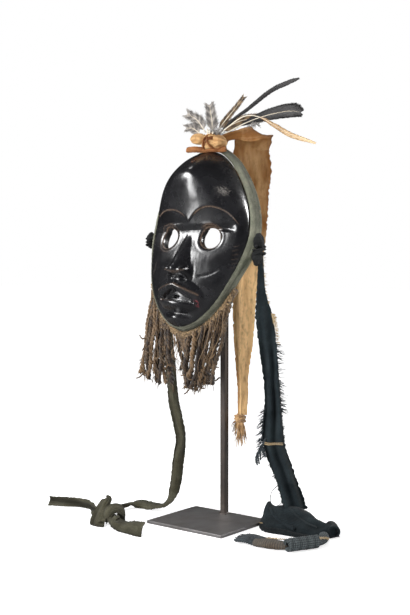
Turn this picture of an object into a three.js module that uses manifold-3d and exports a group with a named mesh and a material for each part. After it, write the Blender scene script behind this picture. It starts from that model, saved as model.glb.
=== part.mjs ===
// A carved wooden face mask of the Dan type on its museum stand, with cloth ties, a fibre beard and feathers.
// Millimetres, +Z up. The origin is the centre of the base plate's underside and the face looks towards -Y.

import * as THREE from 'three';
import { mergeVertices } from 'three/addons/utils/BufferGeometryUtils.js';
import Module from 'manifold-3d';

const wasm = await Module();
wasm.setup();

// Stand
const PLATE_X = 120;
const PLATE_Y = 100;
const PLATE_T = 4;
const ROD_SIDE = 8;
const ROD_X = -4;
const ROD_Y = 40;
const ARM_Z = 402;
const HOOK_RISE = 14;

// Mask: height, widest half-width and where it is, then the exponents of the egg-shaped outline
const MASK_H = 226;
const HALF_W = 76;
const WIDEST = 116;
const CHIN_POINT = 1.8;
const BROW_RIGHT = 1.62;
const BROW_LEFT = 2.05;
const RIM_BACK = 12;
const RIM_T = 9;
const WALL = 9;

// Pose of the mask on the stand, from the point of the chin
const CHIN = new THREE.Vector3(-2, -55.5, 253.6);
const LEAN = THREE.MathUtils.degToRad(15);
const ROLL = THREE.MathUtils.degToRad(4);

// Openings in the face
const EYE_R = 13.2;
const EYE_X = 32;
const EYE_Z = 109;
const EYE_SLANT = 2.2;
const EYE_LIP_H = 8;
const EYE_WIDEN = 0.6;
const MOUTH_GAP_W = 14;
const MOUTH_GAP_H = 5;
const MOUTH_Z = 36;

// Relief of the face, as heights in front of the rim plane
const DOME = 25;
const FOREHEAD_RISE = 12;
const FOREHEAD_BULGE = 15;
const EYE_HOLLOW = 8;
const LEDGE_Z = 123;
const BROW_STEP = 2;
const BROW_TOP = 148;
const BROW_SPAN = 29;
const NOSE_TIP_Z = 66;
const NOSE_ROOT_Z = 130;
const NOSE_RISE = 9;
const NOSTRIL = 6;
const MOUTH_MOUND = 10;
const LIP = 4;
const MOUTH_CUT = 13;
const CHIN_BUMP = 7;

// Textiles and fibre
const GAP = 0.35;
const BAND_FLARE = 9;
const BAND_CHIN_FLARE = 3;
const CLOTH = 2;
const BRAID_R = 5;
const STRAND_R = 3;
const STRANDS = 17;
const BEARD_END = 176;
const BEARD_SWING = 15;
const CREST_R = 4.2;
const CREST_HALF = 24;
const FEATHER_T = 1.4;
const EAR_RIGHT = 34;
const EAR_LEFT = 22;

// How the photograph's camera side is faced by the hanging cloth, as an azimuth from the front
const TURNED = 38;

// Mesh fineness
const AROUND = 52;
const FRONT_RINGS = 19;
const BACK_RINGS = 7;
const HOLE_SIDES = 20;

const { clamp, degToRad, lerp } = THREE.MathUtils;
const bell = (v, s) => Math.exp(-((v / s) ** 2));
const arch = (v) => Math.max(0, 1 - v * v);

function ease(a, b, v) {
  const t = clamp((v - a) / (b - a), 0, 1);
  return t * t * (3 - 2 * t);
}

// Outline of the mask: radius from its centre at an angle, 0 to the right and 90 degrees up
function outline(angle) {
  const c = Math.abs(Math.cos(angle));
  const s = Math.sin(angle);
  const side = Math.cos(angle) > 0 ? BROW_RIGHT : BROW_LEFT;
  const power = s > 0 ? side : CHIN_POINT;
  const reach = s > 0 ? MASK_H - WIDEST : WIDEST;
  return ((c / HALF_W) ** power + (Math.abs(s) / reach) ** power) ** (-1 / power);
}

// The broad form of the face without nose and mouth; r runs from 0 in the middle to 1 at the rim
function broadForm(x, z, r) {
  const up = ease(105, 190, z);
  const inside = ease(1, 0.8, r);
  let h = (DOME + FOREHEAD_RISE * up) * Math.max(0, 1 - r ** (2.1 + 1.3 * up)) ** (0.72 - 0.2 * up);
  h += FOREHEAD_BULGE * bell(z - 186, 42) * bell(x + 4, 52) * ease(1, 0.6, r);
  h -= 3 * bell(z - 75, 34) * bell(Math.abs(x) - 46, 24) * inside;
  const underLedge = ease(LEDGE_Z + 3, LEDGE_Z - 3, z) * ease(58, 100, z);
  return h - EYE_HOLLOW * underLedge * bell(Math.abs(x) - EYE_X, 26) * inside;
}

// Height of the hollow's skin behind a point of the face
function hollowHeight(x, z) {
  const edge = outline(Math.atan2(z - WIDEST, x));
  const reach = Math.hypot(x, z - WIDEST);
  const rise = Math.max(0, 1 - (reach / (edge - RIM_T)) ** 4) ** 0.6;
  return rise * (broadForm(x, z, reach / edge) - WALL + RIM_BACK) - RIM_BACK;
}

function nose(ax, z) {
  const t = clamp((NOSE_ROOT_Z - z) / (NOSE_ROOT_Z - NOSE_TIP_Z), 0, 1.15);
  const half = 1.3 * (5 + 12 * t ** 1.2);
  const ridge = (4 + NOSE_RISE * t) * ease(NOSE_TIP_Z - 11, NOSE_TIP_Z - 1, z);
  const wings = NOSTRIL * bell(ax - 16, 6.5) * bell(z - NOSE_TIP_Z + 1, 6);
  return ridge * ease(NOSE_ROOT_Z + 12, NOSE_ROOT_Z - 6, z) * arch(ax / half) ** 0.9 + wings;
}

function mouth(ax, z) {
  const mound = Math.max(0, 1 - (ax / 37) ** 2 - ((z - MOUTH_Z + 1) / 24) ** 2) ** 0.7;
  const upperLip = bell(z - MOUTH_Z - 2 - 9 * Math.max(0, 1 - ax / 34), 4) * arch(ax / 35);
  const lowerLip = bell(z - MOUTH_Z + 12, 5) * arch(ax / 26);
  const cutMiddle = MOUTH_Z - 3 + 3 * Math.max(0, 1 - ax / 26);
  const cut = bell(z - cutMiddle, 4.5) * Math.max(0, 1 - (ax / 27) ** 4);
  return MOUTH_MOUND * mound + LIP * (upperLip + lowerLip) - MOUTH_CUT * cut;
}

function face(x, z, r) {
  const ax = Math.abs(x);
  const browLine = BROW_TOP - 15 * ((ax - BROW_SPAN) / BROW_SPAN) ** 2;
  const underBrow = ease(2, -2, z - browLine) * ease(LEDGE_Z - 4, LEDGE_Z + 3, z);
  const browEnd = ease(64, 56, ax) * ease(1, 0.8, r);
  const chinBump = CHIN_BUMP * bell(ax, 14) * bell(z - 9, 7);
  return broadForm(x, z, r) - BROW_STEP * underBrow * browEnd + nose(ax, z) + mouth(ax, z) + chinBump;
}

// Solids and meshes
function solidOf(geometry) {
  const bare = geometry.index ? geometry.clone() : geometry;
  bare.deleteAttribute('normal');
  bare.deleteAttribute('uv');
  const merged = mergeVertices(bare, 1e-4);
  const vertProperties = new Float32Array(merged.attributes.position.array);
  const triVerts = new Uint32Array(merged.index.array);
  return new wasm.Manifold(new wasm.Mesh({ numProp: 3, vertProperties, triVerts }));
}

function geometryOf(solid) {
  const mesh = solid.getMesh();
  const geometry = new THREE.BufferGeometry();
  geometry.setAttribute('position', new THREE.BufferAttribute(Float32Array.from(mesh.vertProperties), 3));
  geometry.setIndex(new THREE.BufferAttribute(Uint32Array.from(mesh.triVerts), 1));
  geometry.computeVertexNormals();
  return geometry;
}

const joined = (parts) => parts.map(solidOf).reduce((all, one) => all.add(one));

const maskPose = new THREE.Matrix4()
  .makeRotationX(-LEAN)
  .multiply(new THREE.Matrix4().makeRotationY(ROLL))
  .setPosition(CHIN);

// A point given in the mask's own axes: x to the right, h in front of the rim plane, z up from the chin
const onMask = (x, h, z) => new THREE.Vector3(x, -h, z).applyMatrix4(maskPose);

// Closed form around the face: front rings over the carving, then the rim's side and the hollow behind
function maskForm(grow, hollow) {
  const rings = FRONT_RINGS + 2 + (hollow ? BACK_RINGS : 0);
  const form = new THREE.SphereGeometry(1, AROUND, rings);
  const place = form.attributes.position;
  for (let j = 0; j <= rings; j++) {
    for (let i = 0; i <= AROUND; i++) {
      const angle = Math.PI + (2 * Math.PI * i) / AROUND;
      const p = maskRing(j, angle, grow, hollow);
      place.setXYZ(j * (AROUND + 1) + i, p.x, p.y, p.z);
    }
  }
  return form.applyMatrix4(maskPose);
}

function maskRing(j, angle, grow, hollow) {
  const edge = outline(angle) + grow;
  const at = (radius, h) => {
    return new THREE.Vector3(radius * Math.cos(angle), -h, WIDEST + radius * Math.sin(angle));
  };
  if (j <= FRONT_RINGS) {
    const r = (j / FRONT_RINGS) ** 0.9;
    const p = at(r * edge, 0);
    p.y = -face(p.x, p.z, r) - grow;
    return p;
  }
  if (j === FRONT_RINGS + 1) return at(edge, -RIM_BACK - grow);
  if (!hollow) return at(0, -RIM_BACK - grow);
  const rho = 1 - (j - FRONT_RINGS - 2) / BACK_RINGS;
  const inner = at(rho * (edge - RIM_T), 0);
  inner.y = -hollowHeight(inner.x, inner.z);
  return inner;
}

// A hole straight through at x and z, widened behind from a height on
function bore(radiusX, radiusZ, x, z, widenFrom, widenBy) {
  const depth = 80;
  const drill = new THREE.CylinderGeometry(1, 1, 2 * depth, HOLE_SIDES);
  const sink = new THREE.CylinderGeometry(1 + (widenBy * depth) / radiusX, 1, depth, HOLE_SIDES);
  drill.scale(radiusX, 1, radiusZ).translate(x, 0, z).applyMatrix4(maskPose);
  sink.scale(radiusX, 1, radiusZ).translate(x, depth / 2 - widenFrom, z).applyMatrix4(maskPose);
  return solidOf(drill).add(solidOf(sink));
}

function maskSolid() {
  return solidOf(maskForm(0, true))
    .subtract(bore(EYE_R, EYE_R, EYE_X, EYE_Z + EYE_SLANT, EYE_LIP_H, EYE_WIDEN))
    .subtract(bore(EYE_R, EYE_R, -EYE_X, EYE_Z - EYE_SLANT, EYE_LIP_H, EYE_WIDEN))
    .subtract(bore(MOUTH_GAP_W / 2, MOUTH_GAP_H / 2, 0, MOUTH_Z, MOUTH_MOUND, EYE_WIDEN));
}

// Hoop that follows the outline, with a four-sided section given as [outward, h] at each angle
function hoop(section) {
  const ring = new THREE.TorusGeometry(1, 0.2, 4, AROUND);
  const place = ring.attributes.position;
  for (let j = 0; j <= 4; j++) {
    for (let i = 0; i <= AROUND; i++) {
      const angle = (2 * Math.PI * i) / AROUND;
      const [outward, h] = section(angle)[j % 4];
      const radius = outline(angle) + outward;
      place.setXYZ(j * (AROUND + 1) + i, radius * Math.cos(angle), -h, WIDEST + radius * Math.sin(angle));
    }
  }
  return ring.applyMatrix4(maskPose);
}

const flare = (angle) => lerp(BAND_CHIN_FLARE, BAND_FLARE, ease(-0.8, 0, Math.sin(angle)));

function rimBand(grow) {
  const front = -1.2 + grow;
  const back = -RIM_BACK - grow;
  return hoop((angle) => {
    const out = flare(angle) + grow;
    return [[out, back + 2], [GAP, front], [GAP, back], [out - 1, back]];
  });
}

// Flat strip through stations [x, y, z, half-width, thickness, azimuth and elevation that its face looks to]
function ribbon(stations, perStation = 2) {
  const steps = (stations.length - 1) * perStation;
  const curve = new THREE.CatmullRomCurve3(stations.map(([x, y, z]) => new THREE.Vector3(x, y, z)));
  const strip = new THREE.BoxGeometry(1, 1, 1, 1, 1, steps);
  const place = strip.attributes.position;
  for (let i = 0; i < place.count; i++) {
    const t = place.getZ(i) + 0.5;
    const k = Math.min(stations.length - 2, Math.floor(t * (stations.length - 1)));
    const f = t * (stations.length - 1) - k;
    const between = (n) => lerp(stations[k][n], stations[k + 1][n], f);
    const [half, thick, azimuth, elevation] = [3, 4, 5, 6].map(between);
    const along = curve.getTangent(clamp(t, 0.001, 0.999));
    const facing = new THREE.Vector3().setFromSphericalCoords(1, degToRad(90 - elevation), degToRad(azimuth));
    facing.set(facing.x, -facing.z, facing.y);
    const across = new THREE.Vector3().crossVectors(facing, along).normalize();
    const normal = new THREE.Vector3().crossVectors(along, across);
    const p = curve.getPoint(t).addScaledVector(across, 2 * half * place.getX(i));
    p.addScaledVector(normal, thick * place.getY(i));
    place.setXYZ(i, p.x, p.y, p.z);
  }
  return strip;
}

// Stations of cloth hung between two points: share of the way down, offset in x and y, half-width and facing
function hanging(top, foot, thick, list) {
  return list.map(([share, x, y, half, azimuth, elevation]) => {
    const p = top.clone().lerp(foot, share);
    return [p.x + x, p.y + y, p.z, half, thick, azimuth, elevation];
  });
}

// Round cord or roll along points, with few sides
function rope(points, radius, sides = 6, steps = 8, closed = false) {
  const section = new THREE.Shape();
  for (let i = 0; i < sides; i++) {
    const angle = (2 * Math.PI * i) / sides;
    section[i ? 'lineTo' : 'moveTo'](radius * Math.cos(angle), radius * Math.sin(angle));
  }
  const path = new THREE.CatmullRomCurve3(points, closed);
  return new THREE.ExtrudeGeometry(section, { steps, bevelEnabled: false, extrudePath: path });
}

// Rounded lump with a few folds pressed into it
function lump(centre, size, folds = 0, depth = 0) {
  const ball = new THREE.SphereGeometry(1, 9, 5);
  const place = ball.attributes.position;
  for (let i = 0; i < place.count; i++) {
    const p = new THREE.Vector3().fromBufferAttribute(place, i);
    p.multiplyScalar(1 + depth * Math.cos(folds * Math.atan2(p.z, p.x)) * (1 - p.y * p.y));
    place.setXYZ(i, centre.x + size[0] * p.x, centre.y + size[1] * p.y, centre.z + size[2] * p.z);
  }
  return ball;
}

// Solids that the soft pieces are fitted around
const mask = maskSolid();
const maskRoom = solidOf(maskForm(GAP, false));
const band = solidOf(rimBand(0));
const bandRoom = solidOf(rimBand(GAP));
const aroundMask = (solid) => solid.subtract(maskRoom).subtract(bandRoom);

// Stand: plate, and a square bar bent forward into the hollow of the mask
const plate = new THREE.BoxGeometry(PLATE_X, PLATE_Y, PLATE_T).translate(0, 0, PLATE_T / 2);

// How far forward the bar's hook reaches before it meets the hollow's skin
function hookReach(lowest, highest) {
  const toMask = maskPose.clone().invert();
  const isClear = (y) => [-1, 1].every((side) => [lowest, highest].every((z) => {
    const p = new THREE.Vector3(ROD_X + (side * ROD_SIDE) / 2, y, z).applyMatrix4(toMask);
    return -p.y < hollowHeight(p.x, p.z) - 3 * GAP;
  }));
  let y = ROD_Y;
  while (isClear(y)) y -= GAP;
  return y;
}

function standRod() {
  const half = ROD_SIDE / 2;
  const tip = hookReach(ARM_Z, ARM_Z + ROD_SIDE + HOOK_RISE);
  const side = new THREE.Shape();
  side.moveTo(ROD_Y - half, PLATE_T);
  side.lineTo(ROD_Y + half, PLATE_T);
  side.lineTo(ROD_Y + half, ARM_Z + ROD_SIDE);
  side.lineTo(tip + ROD_SIDE, ARM_Z + ROD_SIDE);
  side.lineTo(tip + ROD_SIDE, ARM_Z + ROD_SIDE + HOOK_RISE);
  side.lineTo(tip, ARM_Z + ROD_SIDE + HOOK_RISE);
  side.lineTo(tip, ARM_Z);
  side.lineTo(ROD_Y - half, ARM_Z);
  const bar = new THREE.ExtrudeGeometry(side, { depth: ROD_SIDE, bevelEnabled: false });
  // The drawing's x becomes y and its y becomes z
  bar.applyMatrix4(new THREE.Matrix4().set(0, 0, 1, ROD_X - half, 1, 0, 0, 0, 0, 1, 0, 0, 0, 0, 0, 1));
  return bar;
}

// Beard: a braid behind the chin's edge, with twisted strands hanging from it
function beard() {
  const from = degToRad(-132);
  const to = degToRad(-46);
  const seat = (t) => {
    const angle = lerp(from, to, t);
    const radius = outline(angle) + flare(angle) + BRAID_R - 1;
    return onMask(radius * Math.cos(angle), -RIM_BACK + 1, WIDEST + radius * Math.sin(angle));
  };
  const braidPoints = Array.from({ length: 12 }, (_, i) => seat(i / 11));
  const parts = [rope(braidPoints, BRAID_R, 6, 12)];
  for (let i = 0; i < STRANDS; i++) {
    const t = (i + 0.5) / STRANDS;
    const top = seat(t);
    const wave = Math.sin(i * 2.4);
    const length = top.z - BEARD_END - 7 * Math.cos(i * 1.7) - 12 * bell(t - 0.42, 0.09);
    const points = [0, 0.3, 0.6, 0.85, 1].map((f) => {
      const sway = 2.5 * wave * Math.sin(f * 5) - BEARD_SWING * f * (0.8 + 0.5 * t);
      return new THREE.Vector3(top.x + sway, top.y + 2 * Math.cos(i + 4 * f), top.z - length * f);
    });
    parts.push(rope(points, STRAND_R, 4, 3));
  }
  return joined(parts);
}

// Crest: a hide roll over the brow, and a knot on it that holds the feathers
const CREST_X = -6.5;
const crestPoint = (f) => onMask(CREST_X + CREST_HALF * f, 15 - 8 * f, MASK_H - 2.5 + 3.5 * f);
const crestLine = [-1, -0.5, 0, 0.5, 1];
const crest = onMask(CREST_X, 13, MASK_H + 9);
const byCrest = (x, y, z) => new THREE.Vector3(x, y, z).add(crest);

function crestRoll(grow) {
  const points = crestLine.map((f) => crestPoint(f * (1 + grow / CREST_HALF)));
  return solidOf(rope(points, CREST_R + grow, 9, 8));
}

function crestKnot(grow) {
  const at = (x, h, z) => onMask(CREST_X + x, 14 + h, MASK_H + z);
  const size = (a, b, c) => [a + grow, b + grow, c + grow];
  const parts = [
    lump(at(-12, 2, 10), size(12, 12, 8), 3, 0.06),
    lump(at(6, -2, 7), size(14, 12, 11), 5, 0.08),
    lump(at(17, -6, 9), size(10, 10, 9)),
  ];
  return joined(parts);
}

const crestBand = aroundMask(crestRoll(0));
const knotOnCrest = aroundMask(crestKnot(0)).subtract(crestRoll(GAP));
const knotRoom = crestKnot(GAP);

// Hide strip that runs back from the crest, folds over and hangs behind the mask
const backStripStations = [
  [19, 7, -2, 8, -30, 55],
  [23, 16, 9, 12, -10, 60],
  [29, 29, 16, 16, 5, 65],
  [32, 39, 15, 20, 25, 50],
  [31, 49, 7, 23, 36, 25],
  [28, 55, -6, 24, TURNED, 5],
  [25, 57, -39, 24, TURNED, 0],
  [23, 59, -84, 22, TURNED, 0],
  [19, 61, -134, 20, TURNED, 0],
  [11, 62, -194, 17, TURNED, 0],
  [10, 62, -244, 15, TURNED, 0],
  [6, 61, -299, 8, TURNED, 0],
  [4, 61, -350, 6, TURNED, 0],
].map(([x, y, z, half, azimuth, elevation]) => {
  return [...byCrest(x, y, z).toArray(), half, CLOTH, azimuth, elevation];
});
const STRIP_KNOT = [3, 61, -355];
const backStrip = aroundMask(solidOf(ribbon(backStripStations))).subtract(knotRoom).subtract(stripEnd(GAP));

function stripEnd(grow) {
  const knot = byCrest(...STRIP_KNOT);
  const parts = [lump(knot, [9 + grow, 8 + grow, 8 + grow], 4, 0.08)];
  for (const [dx, dy, reach] of [[-8, -3, 36], [-3, 3, 38], [3, -2, 40], [8, 3, 34]]) {
    const end = new THREE.Vector3(knot.x + dx, knot.y + dy, knot.z - reach);
    const middle = knot.clone().lerp(end, 0.5).add(new THREE.Vector3(dx * 0.2, 0, 0));
    parts.push(rope([knot.clone(), middle, end], 2.4 + grow, 5, 3));
  }
  return joined(parts);
}

// Black cloth knots on both sides of the rim, the left one smaller
const earMiddle = (sign) => onMask(sign * (HALF_W + BAND_FLARE + 2), -RIM_BACK, WIDEST - 8);

function earKnot(sign, height, grow = 0) {
  const edge = HALF_W + BAND_FLARE;
  const size = (a, b, c) => [a + grow, b + grow, c + grow];
  const middle = WIDEST - 8;
  const parts = [
    lump(earMiddle(sign), size(7, 9, height / 2), 4, 0.1),
    lump(onMask(sign * (edge + 4), -RIM_BACK + 3, middle + height * 0.3), size(6, 7, height / 4)),
    lump(onMask(sign * (edge + 3), -RIM_BACK - 2, middle - height * 0.32), size(6, 7, height / 4), 3, 0.1),
  ];
  return aroundMask(joined(parts));
}

// Indigo strip from the right knot to its heap on the floor
const HEAP_X = PLATE_X / 2 + 49;
const indigoTop = earMiddle(1).add(new THREE.Vector3(-2, 9, -8));
const indigoFoot = new THREE.Vector3(HEAP_X + 1, 34, 40);
const indigoStations = hanging(indigoTop, indigoFoot, CLOTH, [
  [0, 0, 0, 5, TURNED, 0],
  [0.07, -2, 0, 6, TURNED, 0],
  [0.17, -5, -2, 7, TURNED, 0],
  [0.33, -7, -4, 11, TURNED, 0],
  [0.5, -8, -4, 11, TURNED, 0],
  [0.67, -11, -4, 12, TURNED, 0],
  [0.82, -11, -4, 14, TURNED, 0],
  [0.93, -8, -3, 16, TURNED, 0],
  [1, 0, 0, 18, TURNED, 10],
]);
const indigoStrip = aroundMask(solidOf(ribbon(indigoStations))).subtract(earKnot(1, EAR_RIGHT, GAP));

function floorHeap() {
  const top = new THREE.Vector3(HEAP_X, 32, 0);
  const parts = [
    lump(new THREE.Vector3(top.x - 22, top.y + 4, 13), [30, 17, 22], 5, 0.06),
    lump(new THREE.Vector3(top.x + 10, top.y, 11), [34, 17, 17], 5, 0.05),
    lump(new THREE.Vector3(top.x + 42, top.y + 8, 8), [20, 11, 12], 3, 0.06),
  ];
  return cutAtFloor(joined(parts));
}

function cutAtFloor(solid) {
  const ground = new THREE.BoxGeometry(900, 900, 100).translate(0, 0, -50);
  return solid.subtract(solidOf(ground));
}

// Woven end of the indigo strip, folded flat in front of the heap
const wovenStations = [
  [-25, -52, 6, 7, 9],
  [-5, -52, 6.5, 9, 11],
  [17, -50, 7, 11, 12],
  [37, -43, 7.5, 12, 13],
  [54, -30, 7.5, 12, 13],
  [62, -12, 7, 9, 12],
  [59, 10, 7, 8, 11],
  [49, 26, 7, 7, 10],
].map(([x, y, z, half, thick]) => [HEAP_X + x, y, z, half, thick, 0, 90]);
const wovenEnd = cutAtFloor(solidOf(ribbon(wovenStations)));

const wider = (stations) => stations.map(([x, y, z, half, thick, azimuth, elevation]) => {
  return [x, y, z, half + GAP, thick + 2 * GAP, azimuth, elevation];
});
const plateRoom = new THREE.BoxGeometry(PLATE_X + 2 * GAP, PLATE_Y + 2 * GAP, PLATE_T + GAP);
const heap = floorHeap()
  .subtract(solidOf(ribbon(wider(indigoStations))))
  .subtract(solidOf(ribbon(wider(wovenStations))))
  .subtract(solidOf(plateRoom.translate(0, 0, (PLATE_T + GAP) / 2)));

// Olive strip from the left knot down to the floor and along it
const oliveTop = earMiddle(-1).add(new THREE.Vector3(1, 12, -4));
const oliveFoot = new THREE.Vector3(-54, 2, 46);
const oliveStations = [
  ...hanging(oliveTop, oliveFoot, 4, [
    [0, 0, 0, 5, TURNED, 0],
    [0.18, 1, 4, 6, TURNED, 0],
    [0.38, 0, 3, 6, TURNED, 0],
    [0.57, -1, 1, 6, TURNED, 0],
    [0.66, 2, 0, 7, TURNED + 10, 0],
    [0.74, 6, 0, 7, TURNED - 10, 0],
    [0.82, 11, 0, 6, TURNED + 22, 0],
    [0.92, 5, -1, 7, TURNED, 0],
    [1, 0, 0, 6, TURNED - 18, 10],
  ]),
  [-64, 4, 25, 7, 4, 30, 40],
  [-82, 7, 9, 8, 4, 0, 75],
  [-104, 8, 4, 8, 5, 0, 90],
  [-126, 0, 4, 8, 5, 0, 90],
  [-136, -22, 4, 8, 5, 0, 90],
  [-132, -44, 4, 8, 5, 0, 90],
  [-122, -62, 5, 7, 5, 0, 90],
];

function oliveKnot(grow) {
  const at = (x, y, z) => new THREE.Vector3(x, y, z);
  const arches = [
    [at(-128, -62, 5), at(-120, -66, 18), at(-108, -74, 20), at(-98, -92, 8), at(-96, -108, 4)],
    [at(-118, -58, 6), at(-112, -72, 12), at(-100, -82, 9), at(-88, -92, 5), at(-82, -96, 5)],
    [at(-124, -80, 5), at(-108, -84, 9), at(-96, -74, 6), at(-98, -62, 5), at(-116, -60, 6)],
  ];
  return cutAtFloor(joined(arches.map((points) => rope(points, 6 + grow, 5, 7))));
}

const oliveEndLeft = [
  [-134, -76, 5, 6, 7, 0, 90],
  [-150, -55, 5, 7, 7, 0, 90],
  [-168, -41, 5, 7, 7, 0, 90],
  [-188, -40, 5, 7, 8, 0, 90],
  [-210, -50, 5, 6, 8, 0, 90],
  [-232, -62, 4, 5, 6, 0, 90],
];
const oliveEndRight = [
  [-88, -93, 4, 6, 5, 0, 90],
  [-74, -99, 4, 6, 5, 0, 90],
  [-56, -102, 4, 7, 5, 0, 90],
  [-34, -104, 4, 7, 5, 0, 90],
  [-14, -102, 3, 5, 4, 0, 90],
];

const oliveKnotRoom = oliveKnot(GAP);
const oliveStrip = aroundMask(solidOf(ribbon(oliveStations)))
  .subtract(earKnot(-1, EAR_LEFT, GAP))
  .subtract(oliveKnotRoom);

const stripRoom = solidOf(ribbon(wider(backStripStations)));

// Feathers: a blade along its quill, widest where told
function feather(offsets, half, widestAt) {
  const stations = offsets.map((offset, i) => {
    const t = i / (offsets.length - 1);
    const fade = (t - widestAt) / (t < widestAt ? widestAt : 1.08 - widestAt);
    const width = half * Math.max(0.1, 1 - fade ** 2);
    return [...byCrest(...offset).toArray(), width, FEATHER_T, TURNED, 10];
  });
  return solidOf(ribbon(stations)).subtract(knotRoom).subtract(stripRoom);
}

const feathers = {
  feather_long_black: feather(
    [[10, 11, 12], [23, 19, 27], [39, 25, 38], [65, 37, 59], [85, 43, 68], [101, 47, 73]], 5, 0.65),
  feather_broad_black: feather(
    [[13, 15, 10], [35, 27, 22], [55, 34, 29], [77, 39, 33], [93, 42, 34], [105, 45, 32]], 11, 0.72),
  feather_tan: feather(
    [[15, 4, 10], [42, 13, 28], [63, 17, 27], [81, 21, 17], [105, 25, 3], [134, 33, -8]], 4.5, 0.75),
  feather_speckled: feather([[5, 16, 13], [20, 31, 25], [33, 40, 29], [47, 46, 30]], 5, 0.6),
  feather_brown: feather([[1, 13, 12], [13, 19, 29], [22, 25, 42], [30, 31, 55]], 5, 0.6),
  plume_grey_upright: feather([[0, 5, 11], [0, 6, 22], [-3, 7, 35], [-6, 8, 46]], 8, 0.55),
  plume_grey_left: feather([[-5, -1, 11], [-12, -3, 22], [-19, -4, 29], [-29, -7, 35]], 7, 0.6),
  plume_grey_low: feather([[-9, -5, 8], [-15, -8, 14], [-20, -11, 17], [-26, -13, 17]], 5, 0.6),
};

// Scene
const finish = {
  mask: [0x17130f, 0.32, 0],
  olive: [0x6d6f57, 0.95, 0],
  hide: [0xb58a4c, 0.9, 0],
  rust: [0x9a5a30, 0.9, 0],
  indigo: [0x1c2528, 0.95, 0],
  black: [0x141212, 0.9, 0],
  fibre: [0x4a3420, 0.9, 0],
  dark: [0x2a2826, 0.8, 0],
  grey: [0x8c857b, 0.85, 0],
  brown: [0x6b5238, 0.85, 0],
  steel: [0x2a2725, 0.5, 0.8],
};

const object = new THREE.Group();

function add(name, shape, look) {
  const [color, roughness, metalness] = finish[look];
  const geometry = shape.isBufferGeometry ? shape : geometryOf(shape);
  const mesh = new THREE.Mesh(geometry, new THREE.MeshStandardMaterial({ color, roughness, metalness }));
  mesh.name = name;
  object.add(mesh);
}

add('base_plate', plate, 'steel');
add('stand_rod', standRod(), 'steel');
add('mask', mask, 'mask');
add('rim_band', band, 'olive');
add('beard', beard().subtract(maskRoom).subtract(bandRoom), 'fibre');
add('ear_knot_right', earKnot(1, EAR_RIGHT), 'black');
add('ear_knot_left', earKnot(-1, EAR_LEFT), 'black');
add('crest_band', crestBand, 'rust');
add('crest_knot', knotOnCrest, 'hide');
add('back_strip', backStrip, 'hide');
add('back_strip_end', stripEnd(0), 'hide');
add('indigo_strip', indigoStrip, 'indigo');
add('indigo_heap', heap, 'indigo');
add('woven_end', wovenEnd, 'indigo');
add('olive_strip', oliveStrip, 'olive');
add('olive_knot', oliveKnot(0), 'olive');
add('olive_end_left', solidOf(ribbon(oliveEndLeft)).subtract(oliveKnotRoom), 'olive');
add('olive_end_right', solidOf(ribbon(oliveEndRight)).subtract(oliveKnotRoom), 'olive');
const featherLooks = { feather_tan: 'hide', feather_long_black: 'dark', feather_broad_black: 'dark' };
for (const [name, blade] of Object.entries(feathers)) {
  add(name, blade, featherLooks[name] ?? (name.startsWith('plume') ? 'grey' : 'brown'));
}

export default object;
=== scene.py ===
"""A carved Dan face mask on its museum stand, with cloth ties, beard and feathers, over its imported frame."""

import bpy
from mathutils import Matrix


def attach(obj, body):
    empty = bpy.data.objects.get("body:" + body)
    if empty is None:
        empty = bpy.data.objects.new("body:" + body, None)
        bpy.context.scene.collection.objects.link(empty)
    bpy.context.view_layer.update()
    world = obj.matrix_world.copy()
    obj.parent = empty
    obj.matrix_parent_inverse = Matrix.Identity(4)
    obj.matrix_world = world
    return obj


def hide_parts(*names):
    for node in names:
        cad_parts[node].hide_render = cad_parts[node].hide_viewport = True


bl_info = {
    "name": "Dan mask on a stand",
    "version": (1, 0, 0),
    "blender": (4, 5, 0),
    "location": "3D View > Sidebar > Dan mask",
    "description": "Builds the carved mask, its stand, its cloth ties, beard, crest and feathers",
    "category": "Add Mesh",
}

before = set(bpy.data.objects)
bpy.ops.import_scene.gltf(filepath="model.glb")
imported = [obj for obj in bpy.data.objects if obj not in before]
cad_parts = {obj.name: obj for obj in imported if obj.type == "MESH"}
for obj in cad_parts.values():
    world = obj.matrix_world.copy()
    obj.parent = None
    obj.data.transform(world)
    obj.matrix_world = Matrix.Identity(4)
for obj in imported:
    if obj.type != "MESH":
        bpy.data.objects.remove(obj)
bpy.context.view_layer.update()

import math
import random

import bmesh
import bpy
import numpy as np
from bpy.props import FloatProperty, FloatVectorProperty, IntProperty, PointerProperty
from mathutils import Matrix, Vector, noise

MM = 0.001
# Azimuth in degrees of the side that the hanging cloth and the feathers show
SHOWN_SIDE = 38.0


# Numbers in millimetres on the mask: x to the right, z up from the chin's point, h in front of the rim plane
CHIN = np.array([-2.0, -55.5, 253.6])
LEAN = math.radians(15)
ROLL = math.radians(4)
MASK_AXES = np.array(Matrix.Rotation(-LEAN, 3, "X") @ Matrix.Rotation(ROLL, 3, "Y"))
WIDEST = 116.0
WALL = 9.0
RIM_DEPTH = 12.0
EYES = ((32.0, 111.2), (-32.0, 106.8))
EYE_RADIUS = 13.2
EYE_FLATTENED = 1.02
# Middle x and z, half-width and half-height of the slit between the lips
MOUTH_SLIT = (-0.5, 35.2, 6.5, 2.4)
# The outline's unevenness: cosine and sine share of each wave round it
HAND_CUT = ((-1.37, 0), (0.9, 0.54), (-0.73, 0.1), (1.88, 1.19), (-0.14, 0.39))


def bell(v, s):
    return np.exp(-((v / s) ** 2))


def arch(v):
    return np.maximum(0, 1 - v * v)


def ease(a, b, v):
    t = np.clip((v - a) / (b - a), 0, 1)
    return t * t * (3 - 2 * t)


def on_mask(x, h, z):
    return np.stack(np.broadcast_arrays(x, -np.asarray(h, float), z), -1) @ MASK_AXES.T + CHIN


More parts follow.
